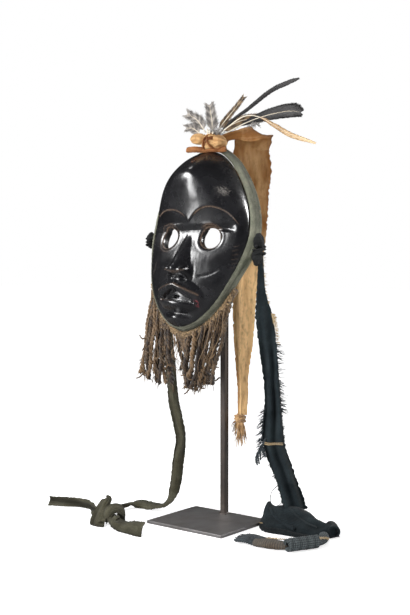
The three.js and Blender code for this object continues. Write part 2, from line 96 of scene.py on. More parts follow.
def outline(angle):
    """Radius of the egg-shaped outline from its centre, at an angle from the right"""
    m = settings().mask
    c, s = np.abs(np.cos(angle)), np.sin(angle)
    power = np.where(s > 0, np.where(np.cos(angle) > 0, 1.62, 2.05), 1.8)
    reach = np.where(s > 0, m.height / MM - WIDEST, WIDEST)
    egg = ((c / (m.half_width / MM)) ** power + (np.abs(s) / reach) ** power) ** (-1 / power)
    for k, (cosine, sine) in enumerate(HAND_CUT):
        egg = egg + cosine * np.cos(k * angle) + sine * np.sin(k * angle)
    return egg


def broad_form(x, z, r):
    up = ease(105, 190, z)
    inside = ease(1, 0.8, r)
    h = (25 + 12 * up) * np.maximum(0, 1 - r ** (2.1 + 1.3 * up)) ** (0.72 - 0.2 * up)
    h = h + 15 * bell(z - 186, 42) * bell(x - 3, 48) * ease(1, 0.6, r)
    h = h - 0.8 * bell(z - 75, 34) * bell(np.abs(x) - 30, 14) * inside
    ledge = 122 + 0.06 * x + 0.0035 * np.maximum(0, x - 15) ** 2
    return h - 7.5 * ease(ledge + 3.4, ledge - 4.4, z) * ease(78, 120, z) * ease(74, 32, np.abs(x)) * inside


def hollow_height(x, z):
    edge = outline(np.arctan2(z - WIDEST, x))
    reach = np.hypot(x, z - WIDEST)
    rise = np.maximum(0, 1 - (reach / (edge - WALL)) ** 4) ** 0.6
    return rise * (broad_form(x, z, reach / edge) - WALL + RIM_DEPTH) - RIM_DEPTH


def brow_line(x):
    right = 147 - 14.5 * np.abs((x - 36) / 29.5) ** 2.3
    left = 140.5 - np.where(x > -30, 11, 7) * np.abs((x + 30) / 30) ** 2.5
    return np.where(x > 2, right, left)


def nose(x, z):
    ax = np.abs(x - 0.5)
    t = np.clip((114 - z) / 49, 0, 1.1)
    half = 3.5 + 14.5 * t
    rounded = np.maximum(0, 1 - (ax / half) ** 2) ** 1.1
    ridge = (0.2 + 15.8 * t**1.3) * ease(55, 65, z) * ease(140, 122, z) * rounded
    wings = 6.5 * bell(ax - 12.5, 4.6) * bell(z - 66, 5.5) + 2.5 * bell(ax, 6) * bell(z - 67, 5)
    nostrils = 3.5 * bell(ax - 7.5, 3.6) * bell(z - 58.5, 2.6)
    groove = 1.2 * bell(ax - 18.5, 2.2) * bell(z - 66, 7)
    return ridge + wings - nostrils - groove


def mouth(x, z):
    ax = np.abs(x)
    mound = np.maximum(0, 1 - (ax / 37) ** 2 - ((z - 37) / 21) ** 2) ** 0.8
    upper = bell(z - 38.5 - 9.5 * np.maximum(0, 1 - ax / 34), 3.0) * arch(ax / 36)
    lower = bell(z - 24.5, 4.4) * arch(ax / 28)
    top = 31 + 12.5 * np.maximum(0, 1 - ax / 27)
    gap = ease(28, 31.5, z) * ease(top + 1.6, top - 1.8, z) * np.maximum(0, 1 - (ax / 27) ** 6)
    under = bell(z - 16.5, 4.0) * arch(ax / 24)
    return 9 * mound + 4.5 * upper + 5 * lower - 2.2 * under - 9 * gap


def face(x, z, r):
    brow = ease(1.2, -1.2, z - brow_line(x)) * ease(119, 126, z)
    brow = brow * ease(67, 50, np.abs(x - 2)) * ease(1, 0.85, r)
    sunk = 1.4 + 0.17 * np.clip(brow_line(x) - z, 0, 18)
    crease = bell(z - 63 - 0.018 * (x - 26) ** 2, 1.3) * ease(24, 30, x) * ease(56, 46, x)
    chin = 7 * bell(x, 14) * bell(z - 9, 7)
    return broad_form(x, z, r) - sunk * brow - 0.9 * crease + nose(x, z) + mouth(x, z) + chin


# Curves, strips and tubes
def spline(rows, count):
    """Rows of numbers, smoothly filled in to count rows"""
    rows = np.asarray(rows, float)
    last = len(rows) - 1
    t = np.linspace(0, last, count)
    k = np.minimum(t.astype(int), last - 1)
    f = (t - k)[:, None]
    padded = np.vstack([2 * rows[0] - rows[1], rows, 2 * rows[-1] - rows[-2]])
    a, b, c, d = (padded[k + i] for i in range(4))
    return 0.5 * (2 * b + (c - a) * f + (2 * a - 5 * b + 4 * c - d) * f**2 + (3 * b - a - 3 * c + d) * f**3)


def unit(v):
    return v / np.maximum(np.linalg.norm(v, axis=-1, keepdims=True), 1e-9)


def lengths(path):
    return np.concatenate([[0], np.cumsum(np.linalg.norm(np.diff(path, axis=0), axis=1))])


def sides_of(path, ref):
    along = unit(np.gradient(path, axis=0))
    side = unit(np.cross(along, np.broadcast_to(ref, along.shape)))
    return side, np.cross(side, along)


def beside(path, side, up, x, y):
    """Places x to the side of a path and y above it"""
    return path + side * x[:, None] + up * y[:, None]


def facing(az, el):
    az, el = np.radians(az), np.radians(el)
    return np.stack([np.sin(az) * np.cos(el), -np.cos(az) * np.cos(el), np.sin(el)], -1)


def rough(places, scale, seed=0.0):
    """Smooth random numbers from -1 to 1 at places in millimetres"""
    return np.array(
        [noise.noise(Vector(p)) for p in np.asarray(places, float) * scale + (seed, -seed, 2 * seed)]
    )


def vertex_places(mesh):
    co = np.empty((len(mesh.vertices), 3))
    mesh.vertices.foreach_get("co", co.ravel())
    return co


def set_attribute(mesh, name, values):
    mesh.attributes.new(name, "FLOAT", "POINT").data.foreach_set("value", values)


def new_object(name, data):
    obj = bpy.data.objects.new(name, data)
    bpy.context.scene.collection.objects.link(obj)
    return obj


TEMPLATES = {}


def template(kind, across, along):
    """Closed ball or flat grid from a bmesh operator, made once, with its vertices, corners and UVs"""
    key = (kind, across, along)
    if key not in TEMPLATES:
        bm = bmesh.new()
        bm.loops.layers.uv.new("UVMap")
        if kind == "ball":
            bmesh.ops.create_uvsphere(bm, u_segments=across, v_segments=along, radius=1, calc_uvs=True)
        else:
            bmesh.ops.create_grid(bm, x_segments=across, y_segments=along, size=0.5, calc_uvs=True)
        mesh = bpy.data.meshes.new("template")
        bm.to_mesh(mesh)
        bm.free()
        corners = np.empty(len(mesh.loops), int)
        mesh.loops.foreach_get("vertex_index", corners)
        uv = np.empty((len(mesh.loops), 2))
        mesh.uv_layers[0].uv.foreach_get("vector", uv.ravel())
        TEMPLATES[key] = (mesh, vertex_places(mesh), corners, uv)
    return TEMPLATES[key]


def ball_rings(ball, steps):
    """Ring number from pole to pole and angle round the axis of each of a ball's vertices"""
    ring = np.rint(np.arccos(np.clip(ball[:, 2], -1, 1)) / math.pi * steps).astype(int)
    return ring, np.arctan2(ball[:, 1], ball[:, 0])


class Shape:
    """Tubes, strips and wads gathered into one mesh; places are given in millimetres"""

    def __init__(self):
        self.bm = bmesh.new()
        self.co, self.uv, self.shade = [], [], []

    def add(self, mesh, co, uv, shade):
        self.bm.from_mesh(mesh)
        self.co.append(co)
        self.uv.append(uv)
        self.shade.append(np.broadcast_to(shade, len(co)))

    def tube(self, path, radius, sides=6, ref=(0, 1, 0), shade=0.5, flat=1.0, rib=None):
        """Closed round or flattened tube; radius and shade may change along it"""
        path = np.asarray(path, float)
        count = len(path)
        mesh, ball, _, uv = template("ball", sides, count + 1)
        ring, angle = ball_rings(ball, count + 1)
        k = np.clip(ring - 1, 0, count - 1)
        size = np.where((ring == 0) | (ring == count + 1), 0, np.broadcast_to(radius, count)[k])
        if rib is not None:
            size = size * (1 + rib(angle, k))
        side, up = sides_of(path, ref)
        x, y = size * np.cos(angle), size * np.sin(angle) * np.broadcast_to(flat, count)[k]
        co = beside(path[k], side[k], up[k], x, y)
        wide = 2 * math.pi * float(np.mean(radius)) * MM
        self.add(mesh, co, uv * (wide, lengths(path)[-1] * MM), np.broadcast_to(shade, count)[k])

    def yarn(self, path, radius, pitch, plies=2, sides=5, ref=(0, 1, 0), shade=0.5, start=0.0):
        """Plies twisted round a path"""
        path = np.asarray(path, float)
        side, up = sides_of(path, ref)
        turn = lengths(path) / pitch * 2 * math.pi + start
        offset = np.broadcast_to(radius, len(path))[:, None] * (0.5 if plies == 2 else 0.56)
        for ply in range(plies):
            angle = (turn + ply * 2 * math.pi / plies)[:, None]
            line = path + (side * np.cos(angle) + up * np.sin(angle)) * offset
            self.tube(
                line, np.broadcast_to(radius, len(path)) * (0.62 if plies == 2 else 0.56), sides, ref, shade
            )

    def hoop(self, centre, size, tilt, phase, count, radius, ref=(0, 0, 1), shade=0.55, flat=0.6):
        """One turn of cord or cloth round an upright axis, tilted up and down by tilt"""
        turn = np.linspace(0, 2 * math.pi, count)
        ring = np.stack([size[0] * np.cos(turn), size[1] * np.sin(turn), tilt * np.sin(turn + phase)], 1)
        self.tube(np.array(centre) + ring, radius, 8, ref=ref, shade=shade, flat=flat)

    def wisp(self, start, away, bend, count, radius, sides, shade):
        """Fine hair from a start, bent half way"""
        self.tube(spline([start, start + away * 0.5 + bend, start + away], count), radius, sides, shade=shade)

    def sheet(self, path, side, half, across, wave=None, ragged=0.0, seed=0.0, shade=0.5):
        """Flat strip along a path; side says which way its width runs, wave lifts it off flat"""
        along = len(path) - 1
        mesh, grid, corners, _ = template("grid", across, along)
        i = np.rint((grid[:, 1] + 0.5) * along).astype(int)
        a = 2 * grid[:, 0]
        run = lengths(path)
        side = np.broadcast_to(side, path.shape)
        normal = unit(np.cross(unit(np.gradient(path, axis=0)), side))
        half = np.broadcast_to(half, len(path))
        edge = 1 + ragged * np.abs(a) ** 4 * rough(np.stack([run[i], 28 * a, 0 * a], 1), 0.25, seed)
        lift = wave(a, run[i], half[i]) if wave else np.zeros(len(a))
        co = path[i] + side[i] * (half[i] * a * edge)[:, None] + normal[i] * lift[:, None]
        uv = np.stack([a * half[i], run[i]], 1)[corners] * MM
        # Painted shade and light: the shade attribute is raised where the wave lifts the strip and lowered in
        # its hollows
        self.add(mesh, co, uv, np.broadcast_to(shade, len(path))[i] + 0.16 * np.clip(lift, -2.5, 2.5))
        return run[-1]

    def strip(self, rows, across, along, **more):
        """Sheet through stations x, y, z, half-width, azimuth and elevation of the side it shows"""
        fine = spline(rows, along + 1)
        path = fine[:, :3]
        tangent = unit(np.gradient(path, axis=0))
        side = unit(np.cross(facing(fine[:, 4], fine[:, 5]), tangent))
        return self.sheet(path, side, fine[:, 3], across, **more)

    def lump(
        self, centre, size, folds=0.15, scale=0.12, seed=0.0, shade=0.5, detail=(28, 18), stretch=(1, 1, 1)
    ):
        """Crumpled rounded wad"""
        mesh, ball, _, uv = template("ball", *detail)
        q = ball * np.array(size)
        crease = 1 - 2 * np.abs(rough(q * stretch, scale, seed))
        fine = rough(q, 3 * scale, seed)
        co = np.array(centre) + q * (1 + folds * (crease - 0.6) + 0.3 * folds * fine)[:, None]
        around = 2 * math.pi * float(np.mean(size)) * MM
        # Painted shade: the shade attribute is lowered in the wad's creases and raised on its ridges
        self.add(mesh, co, uv * (around, around / 2), shade + 0.3 * (crease - 0.6))

    def mound(self, ridge, front, back, detail=(64, 90), folds=1.5, seed=0.0, shade=0.5):
        """Cloth heaped on the floor, through a ridge and the front and back edges that it lies on"""
        count = detail[1]
        ridge, front, back = (spline(rows, count) for rows in (ridge, front, back))
        mesh, ball, _, uv = template("ball", detail[0], count + 1)
        ring, angle = ball_rings(ball, count + 1)
        angle = angle % (2 * math.pi)
        k = np.clip(ring - 1, 0, count - 1)
        over = angle < math.pi
        u = ((1 - np.cos(angle)) / 2)[:, None]
        middle = 2 * ridge - (front + back) / 2
        top = (1 - u) ** 2 * front[k] + 2 * u * (1 - u) * middle[k] + u**2 * back[k]
        under = front[k] + (back[k] - front[k]) * u
        co = np.where(over[:, None], top, under)
        pole = (ring == 0) | (ring == count + 1)
        co = np.where(pole[:, None], (ridge[k] + front[k] + back[k]) / 3, co)
        out = unit(co - (ridge[k] + front[k] + back[k]) / 3)
        crease = np.abs(rough(co * (0.35, 1, 1.3), 0.09, seed)) - 0.25
        fine = rough(co, 0.3, seed)
        lift = np.where(over & ~pole, -folds * 3 * crease + 0.4 * folds * fine, 0)
        co = co + out * lift[:, None]
        # Painted shade: the shade attribute is lowered in the heap's hollows and raised on its ridges
        self.add(mesh, co, uv * (0.12, 0.12), shade - 0.5 * crease)

    def place(self, name, material, slot, nodes=(), thickness=0.0, floor=None):
        """Ends the mesh and puts it in the scene"""
        mesh = bpy.data.meshes.new(name)
        self.bm.to_mesh(mesh)
        self.bm.free()
        co = np.concatenate(self.co)
        if floor is not None:
            co[:, 2] = np.maximum(co[:, 2], floor)
        mesh.vertices.foreach_set("co", (co * MM).ravel())
        mesh.uv_layers[0].uv.foreach_set("vector", np.concatenate(self.uv).ravel())
        set_attribute(mesh, "shade", np.concatenate(self.shade))
        mesh.shade_smooth()
        mesh.update()
        return put_in_scene(mesh, name, material, nodes, thickness)


def put_in_scene(mesh, name, material, nodes=(), thickness=0.0):
    mesh.materials.clear()
    mesh.materials.append(bpy.data.materials[material])
    obj = new_object(name, mesh)
    if thickness:
        wall = obj.modifiers.new("Thickness", "SOLIDIFY")
        wall.thickness = thickness
        wall.offset = 0
    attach(obj, "root")
    if nodes:
        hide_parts(*nodes)
    return obj


# Shader building
def object_place(tree):
    return put(tree, "ShaderNodeTexCoord").outputs["Object"]


def put(tree, kind, values=None, **set_to):
    node = tree.nodes.new(kind)
    for key, value in set_to.items():
        setattr(node, key, value)
    for key, value in (values or {}).items():
        if isinstance(value, bpy.types.NodeSocket):
            tree.links.new(value, node.inputs[key])
        else:
            node.inputs[key].default_value = value
    return node


def math_node(tree, operation, a, b=0.0, clamp=False):
    return put(tree, "ShaderNodeMath", {0: a, 1: b}, operation=operation, use_clamp=clamp).outputs[0]


def mix(tree, factor, a, b, blend="MIX"):
    node = put(tree, "ShaderNodeMix", {0: factor, 6: a, 7: b}, data_type="RGBA", blend_type=blend)
    return node.outputs[2]


def remap(tree, value, low, high, to_low=0.0, to_high=1.0):
    node = put(tree, "ShaderNodeMapRange", {0: value, 1: low, 2: high, 3: to_low, 4: to_high})
    return node.outputs[0]


def rgb(values):
    return (*values, 1.0)


def new_group(name, sockets_in, sockets_out):
    tree = bpy.data.node_groups.new(name, "ShaderNodeTree")
    for label, kind, default in sockets_in:
        tree.interface.new_socket(name=label, in_out="INPUT", socket_type=kind).default_value = default
    for label, kind in sockets_out:
        tree.interface.new_socket(name=label, in_out="OUTPUT", socket_type=kind)
    return tree, tree.nodes.new("NodeGroupInput"), tree.nodes.new("NodeGroupOutput")


def group_mottle():
    """Blotches and fine grain on object coordinates"""
    tree, given, out = new_group(
        "Mottle",
        [("Blotch size", "NodeSocketFloat", 60.0), ("Grain size", "NodeSocketFloat", 900.0),
         ("Stretch", "NodeSocketVector", (1, 1, 1))],
        [("Blotch", "NodeSocketFloat"), ("Grain", "NodeSocketFloat"), ("Specks", "NodeSocketFloat")],
    )
    place = object_place(tree)
    place = put(
        tree, "ShaderNodeVectorMath", {0: place, 1: given.outputs["Stretch"]}, operation="MULTIPLY"
    ).outputs[0]
    blotch = put(
        tree, "ShaderNodeTexNoise",
        {"Vector": place, "Scale": given.outputs["Blotch size"], "Detail": 3.0, "Roughness": 0.6}
    )
    grain = put(
        tree, "ShaderNodeTexNoise",
        {"Vector": place, "Scale": given.outputs["Grain size"], "Detail": 2.0, "Roughness": 0.7}
    )
    specks = put(tree, "ShaderNodeTexVoronoi", {"Vector": place, "Scale": given.outputs["Grain size"]})
    tree.links.new(remap(tree, blotch.outputs[0], 0.3, 0.7), out.inputs["Blotch"])
    tree.links.new(remap(tree, grain.outputs[0], 0.3, 0.7), out.inputs["Grain"])
    tree.links.new(specks.outputs[0], out.inputs["Specks"])


def group_weave():
    """Plain weave on the piece's own UV map, laid out in metres"""
    tree, given, out = new_group(
        "Weave",
        [("Threads per metre", "NodeSocketFloat", 900.0), ("Rib", "NodeSocketFloat", 1.0)],
        [("Height", "NodeSocketFloat")],
    )
    place = put(tree, "ShaderNodeUVMap").outputs[0]
    parts = put(tree, "ShaderNodeSeparateXYZ", {0: place})
    turn = math_node(tree, "MULTIPLY", given.outputs["Threads per metre"], math.pi)
    warp = math_node(
        tree, "ABSOLUTE", math_node(tree, "SINE", math_node(tree, "MULTIPLY", parts.outputs[0], turn))
    )
    along = math_node(
        tree, "MULTIPLY", math_node(tree, "MULTIPLY", parts.outputs[1], turn), given.outputs["Rib"]
    )
    weft = math_node(tree, "ABSOLUTE", math_node(tree, "SINE", along))
    tree.links.new(math_node(tree, "MULTIPLY", warp, weft), out.inputs["Height"])


def use_group(tree, name, **values):
    node = put(tree, "ShaderNodeGroup", node_tree=bpy.data.node_groups[name])
    for key, value in values.items():
        node.inputs[key.replace("_", " ")].default_value = value
    return node


def new_material(name, **plain):
    material = bpy.data.materials.new(name)
    material.use_nodes = True
    tree = material.node_tree
    shader = tree.nodes["Principled BSDF"]
    for key, value in plain.items():
        shader.inputs[key.replace("_", " ").title().replace("Ior", "IOR")].default_value = value
    return tree, shader


def attribute(tree, name):
    return put(tree, "ShaderNodeAttribute", attribute_name=name).outputs["Fac"]


def bump(tree, shader, height, strength, distance):
    node = put(tree, "ShaderNodeBump", {"Height": height, "Strength": strength, "Distance": distance})
    tree.links.new(node.outputs[0], shader.inputs["Normal"])
    return node


def patina_wood(name, dark, worn):
    """Black polished carving, rubbed to red-brown wood where the wear attribute is high"""
    tree, shader = new_material(name, coat_weight=0.15, coat_roughness=0.12)
    mottle = use_group(tree, "Mottle", Blotch_size=38.0, Grain_size=520.0)
    wear = math_node(
        tree, "MULTIPLY", attribute(tree, "wear"), remap(tree, mottle.outputs["Grain"], 0.1, 0.8, 0.25, 1.3)
    )
    wear = math_node(tree, "MINIMUM", wear, 1.0)
    base = mix(tree, mottle.outputs["Blotch"], rgb(dark), rgb([v * 1.8 + 0.002 for v in dark]))
    place = object_place(tree)
    scars = attribute(tree, "scars")
    cuts = put(
        tree, "ShaderNodeTexNoise", {"Vector": place, "Scale": 620.0, "Detail": 1.0, "Distortion": 1.2}
    )
    level = math_node(tree, "SUBTRACT", 0.86, math_node(tree, "MULTIPLY", scars, 0.26))
    cuts = math_node(tree, "MULTIPLY", math_node(tree, "SUBTRACT", cuts.outputs[0], level), 14.0, clamp=True)
    specks = math_node(tree, "LESS_THAN", mottle.outputs["Specks"], math_node(tree, "MULTIPLY", scars, 0.22))
    cuts = math_node(tree, "MAXIMUM", cuts, math_node(tree, "MULTIPLY", specks, 0.7))
    base = mix(tree, math_node(tree, "MULTIPLY", cuts, 0.8), base, rgb((0.21, 0.195, 0.18)))
    base = mix(tree, wear, base, rgb(worn))
    base = mix(tree, attribute(tree, "red"), base, rgb((0.32, 0.05, 0.06)))
    tree.links.new(base, shader.inputs["Base Color"])
    gloss = remap(tree, mottle.outputs["Blotch"], 0.0, 1.0, 0.2, 0.31)
    tree.links.new(
        math_node(tree, "ADD", gloss, math_node(tree, "MULTIPLY", wear, 0.2)), shader.inputs["Roughness"]
    )
    streak = put(tree, "ShaderNodeTexNoise", {"Scale": 260.0, "Detail": 4.0, "Roughness": 0.65})
    place = put(
        tree, "ShaderNodeVectorMath",
        {0: object_place(tree), 1: (1.0, 1.0, 0.35)}, operation="MULTIPLY"
    )
    tree.links.new(place.outputs[0], streak.inputs["Vector"])
    bump(tree, shader, streak.outputs[0], 0.3, 0.0003)


def cloth(name, thread, gap, threads=750.0, rib=1.0, dust=(0.3, 0.3, 0.25), dusty=0.25):
    tree, shader = new_material(
        name, roughness=0.92, specular_ior_level=0.15, sheen_weight=0.04, sheen_roughness=0.5
    )
    mottle = use_group(tree, "Mottle", Blotch_size=45.0, Grain_size=800.0)
    weave = use_group(tree, "Weave", Threads_per_metre=threads, Rib=rib)
    base = mix(tree, weave.outputs["Height"], rgb(gap), rgb(thread))
    base = mix(tree, math_node(tree, "MULTIPLY", mottle.outputs["Blotch"], dusty), base, rgb(dust))
    # The shade attribute scales the cloth's colour; it carries painted shade, darker in fold hollows and
    # creases and lighter on ridges, besides the pieces' own darker and lighter tones
    folds = remap(tree, attribute(tree, "shade"), 0.05, 0.95, 0.4, 1.35)
    grain = math_node(tree, "MULTIPLY", remap(tree, mottle.outputs["Grain"], 0.0, 1.0, 0.75, 1.25), folds)
    base = mix(
        tree, 1.0, base, put(tree, "ShaderNodeCombineXYZ", {0: grain, 1: grain, 2: grain}).outputs[0],
        "MULTIPLY"
    )
    tree.links.new(base, shader.inputs["Base Color"])
    bump(tree, shader, weave.outputs["Height"], 0.5, 0.0005)


def shaded(
    name, low, high, roughness=0.8, grain_size=700.0, stretch=(1, 1, 1), contrast=0.3, height=0.0004,
    sheen=0.1
):
    """Finish that runs from a low to a high colour with the piece's shade attribute"""
    tree, shader = new_material(name, roughness=roughness, specular_ior_level=0.35, sheen_weight=sheen)
    mottle = use_group(tree, "Mottle", Blotch_size=70.0, Grain_size=grain_size, Stretch=stretch)
    level = math_node(
        tree, "ADD", attribute(tree, "shade"),
        remap(tree, mottle.outputs["Blotch"], 0, 1, -contrast, contrast)
    )
    level = math_node(
        tree, "ADD", level, remap(tree, mottle.outputs["Grain"], 0, 1, -contrast, contrast), clamp=True
    )
    tree.links.new(mix(tree, level, rgb(low), rgb(high)), shader.inputs["Base Color"])
    bump(tree, shader, mottle.outputs["Grain"], 0.5, height)


def hide(name, low, high, dark):
    """Dry hide: long fibres down the strip with dark flecks"""
    tree, shader = new_material(name, roughness=0.9, specular_ior_level=0.12)
    mottle = use_group(tree, "Mottle", Blotch_size=28.0, Grain_size=240.0, Stretch=(1.0, 1.0, 0.3))
    fine = use_group(tree, "Mottle", Blotch_size=160.0, Grain_size=1100.0, Stretch=(1.0, 1.0, 0.6))
    level = math_node(
        tree, "ADD", attribute(tree, "shade"), remap(tree, mottle.outputs["Blotch"], 0, 1, -0.3, 0.3),
        clamp=True
    )
    base = mix(tree, level, rgb(low), rgb(high))
    base = mix(tree, remap(tree, mottle.outputs["Grain"], 0.55, 0.95, 0.0, 0.35), base, rgb(dark))
    base = mix(tree, remap(tree, fine.outputs["Blotch"], 0.6, 1.0, 0.0, 0.3), base, rgb(dark))
    tree.links.new(base, shader.inputs["Base Color"])
    both = math_node(tree, "ADD", fine.outputs["Grain"], mottle.outputs["Grain"])
    bump(tree, shader, both, 0.6, 0.0006)


def blackened_steel(name, dark, brown, metallic=0.75):
    tree, shader = new_material(name, metallic=metallic, specular_ior_level=0.5)
    mottle = use_group(tree, "Mottle", Blotch_size=26.0, Grain_size=420.0)
    base = mix(tree, mottle.outputs["Blotch"], rgb(dark), rgb(brown))
    tree.links.new(base, shader.inputs["Base Color"])
    tree.links.new(remap(tree, mottle.outputs["Blotch"], 0, 1, 0.5, 0.36), shader.inputs["Roughness"])
    bump(tree, shader, mottle.outputs["Grain"], 0.25, 0.0003)


def barred(name, low, high, bars):
    """Feather vane with bars across it, counted by the shade attribute"""
    tree, shader = new_material(name, roughness=0.75, specular_ior_level=0.3, sheen_weight=0.2)
    wave = math_node(tree, "SINE", math_node(tree, "MULTIPLY", attribute(tree, "shade"), bars))
    mottle = use_group(tree, "Mottle", Blotch_size=150.0, Grain_size=600.0)
    level = math_node(
        tree, "ADD", remap(tree, wave, -0.6, 0.6), remap(tree, mottle.outputs["Blotch"], 0, 1, -0.35, 0.35),
        clamp=True
    )
    tree.links.new(mix(tree, level, rgb(low), rgb(high)), shader.inputs["Base Color"])


def make_materials():
    group_mottle()
    group_weave()
    m = settings()
    patina_wood("Patina wood", m.mask.patina, m.mask.worn_wood)
    cloth("Rim cloth", m.ties.rim, (0.085, 0.09, 0.065), 1400.0, dust=(0.36, 0.35, 0.27), dusty=0.45)
    cloth("Olive cloth", m.ties.olive, (0.022, 0.022, 0.013), 900.0, dust=(0.13, 0.125, 0.09), dusty=0.4)
    cloth("Indigo cloth", m.ties.indigo, (0.003, 0.005, 0.007), 900.0, dust=(0.045, 0.062, 0.067), dusty=0.3)
    cloth(
        "Black cloth", (0.010, 0.010, 0.011), (0.002, 0.002, 0.002), 700.0, dust=(0.05, 0.055, 0.055),
        dusty=0.3
    )
    cloth("Brown weave", (0.16, 0.12, 0.085), (0.03, 0.022, 0.018), 420.0, dust=(0.20, 0.21, 0.2), dusty=0.35)
    cloth("Grey rib", (0.14, 0.165, 0.17), (0.03, 0.036, 0.04), 420.0, dust=(0.06, 0.07, 0.075), dusty=0.6)
    hide("Tan hide", m.crest.hide, m.crest.pale_hide_and_painted_light, (0.13, 0.055, 0.02))
    hide("Rust hide", (0.17, 0.055, 0.02), (0.44, 0.20, 0.08), (0.05, 0.02, 0.012))
    shaded("Fibre", (0.018, 0.011, 0.008), m.beard.fibre, 0.7, 900.0, (1, 1, 0.3), 0.28)
    shaded("Golden fibre", (0.03, 0.018, 0.01), (0.34, 0.23, 0.12), 0.75, 900.0, (1, 1, 0.3), 0.28)
    shaded("Golden thread", (0.22, 0.11, 0.045), (0.70, 0.45, 0.22), 0.85)
    shaded("Beige thread", (0.35, 0.25, 0.13), (0.62, 0.48, 0.3), 0.9)
    shaded("Indigo thread", (0.004, 0.006, 0.008), (0.05, 0.065, 0.075), 0.9)
    shaded("Dark feather", (0.004, 0.004, 0.005), (0.036, 0.034, 0.034), 0.6, contrast=0.2, sheen=0.0)
    shaded("Tan feather", (0.28, 0.15, 0.06), (0.72, 0.52, 0.30), 0.6)
    shaded("Quill", (0.45, 0.36, 0.24), (0.85, 0.78, 0.65), 0.45, contrast=0.1)
    barred("Brown feather", (0.035, 0.022, 0.014), (0.26, 0.17, 0.09), 26.0)
    barred("Grey feather", (0.11, 0.10, 0.095), (0.36, 0.33, 0.30), 22.0)
    blackened_steel("Blackened steel", m.stand.steel, (0.085, 0.068, 0.058))
    # The plate's steel is paler and less metallic: its lighter colour stands in for the bright room that the
    # plate reflects, a painted reflection
    blackened_steel("Pale steel with painted reflection", [v * 3.4 for v in m.stand.steel], (0.17, 0.165, 0.165), 0.2)


# The mask
FRONT_SEGMENTS = 160
FRONT_STEPS = 90
HOLLOW_STEPS = 34
RIM_STEPS = 6
MASK_MESH_SIZE = 1.05


def carving_blank():
    """The carving before its eyes and mouth are cut through: front, rim and hollow as one closed form"""
    total = FRONT_STEPS + RIM_STEPS + HOLLOW_STEPS
    made, ball, _, _ = template("ball", FRONT_SEGMENTS, total)
    ring, angle = ball_rings(ball, total)
    edge = outline(angle)
    r = np.clip(ring / FRONT_STEPS, 0, 1) ** 0.9
    back = np.clip((total - ring) / HOLLOW_STEPS, 0, 1) ** 0.75
    across = np.clip((ring - FRONT_STEPS) / RIM_STEPS, 0, 1)
    front = ring <= FRONT_STEPS
    inner = ring >= FRONT_STEPS + RIM_STEPS
    reach = np.where(front, r * edge, np.where(inner, back * (edge - WALL), edge - WALL * across))
    x, z = reach * np.cos(angle), WIDEST + reach * np.sin(angle)
    fall = np.where(front, 0, -RIM_DEPTH * np.minimum(1, across * 2.2))
    behind = np.where(inner, hollow_height(x, z), fall)
    h = np.where(front, face(x, z, np.clip(reach / edge, 0, 1)), behind)
    mesh = made.copy()
    mesh.vertices.foreach_set("co", (on_mask(x, h, z) * MM).ravel())
    return mesh


def cutter(bm, x, z, half_x, half_z):
    """Closed bar that goes straight through the face"""
    rod = bmesh.ops.create_cone(bm, cap_ends=True, segments=48, radius1=1, radius2=1, depth=1)
    for v in rod["verts"]:
        v.co = on_mask(x + v.co.x * half_x, 30 + 120 * v.co.z, z + v.co.y * half_z) * MM


def boolean(mesh, tool):
    obj = new_object("work", mesh)
    other = new_object("tool", tool)
    cut = obj.modifiers.new("Cut", "BOOLEAN")
    cut.operation = "DIFFERENCE"
    cut.object = other
    cut.solver = "EXACT"
    made = settle(obj)
    bpy.data.objects.remove(other)
    return made


def settle(obj):
    """Mesh of an object with its modifiers worked in; the object goes"""
    deps = bpy.context.evaluated_depsgraph_get()
    made = bpy.data.meshes.new_from_object(obj.evaluated_get(deps), depsgraph=deps)
    bpy.data.objects.remove(obj)
    return made


def voxel(mesh, size):
    obj = new_object("work", mesh)
    grid = obj.modifiers.new("Even mesh", "REMESH")
    grid.mode = "VOXEL"
    grid.voxel_size = size * MM
    grid.use_smooth_shade = True
    eased = obj.modifiers.new("Eased steps", "SMOOTH")
    eased.factor = 0.5
    eased.iterations = 5
    return settle(obj)


def mask_places(co):
    """Mask coordinates x, h, z in millimetres of points in metres"""
    local = (co / MM - CHIN) @ MASK_AXES
    return local[:, 0], -local[:, 1], local[:, 2]


def eye_distance(x, z):
    return np.minimum.reduce([np.hypot(x - ex, (z - ez) * EYE_FLATTENED) for ex, ez in EYES]) - EYE_RADIUS


def shape_carving(mesh):
    """Puts the even mesh's front on the carved face, rounds the holes' rims and adds the tool marks"""
    x, h, z = mask_places(vertex_places(mesh))
    edge = outline(np.arctan2(z - WIDEST, x))
    r = np.hypot(x, z - WIDEST) / edge
    wanted = face(x, z, np.clip(r, 0, 1))
    hole = eye_distance(x, z)
    near = (np.abs(h - wanted) < 2.2) & (r < 0.985)
    h = np.where(near, wanted, h)
    front = ease(-5, -1, h - wanted) * ease(0.995, 0.97, r)
    lip = np.exp(-np.clip(hole, 0, 99) / 1.3)
    h = h - front * 1.4 * lip
    h = h + front * 0.3 * bell(hole - 4.2, 2.2)
    flat = np.stack([x, z * 0.5, 0 * x], 1)
    marks = rough(flat, 0.11, 3.0)
    fine = rough(flat * (1, 0.7, 1), 0.45, 9.0)
    h = h + front * (0.13 * marks + 0.04 * fine) * ease(4, 9, hole)
    mesh.vertices.foreach_set("co", (on_mask(x, h, z) * MM).ravel())
    return x, z, hole, front


def scratch(x, z, x1, z1, x2, z2, width):
    """Strength of a straight mark between two places"""
    dx, dz = x2 - x1, z2 - z1
    t = np.clip(((x - x1) * dx + (z - z1) * dz) / (dx * dx + dz * dz), 0, 1)
    return bell(np.hypot(x - x1 - t * dx, z - z1 - t * dz), width)


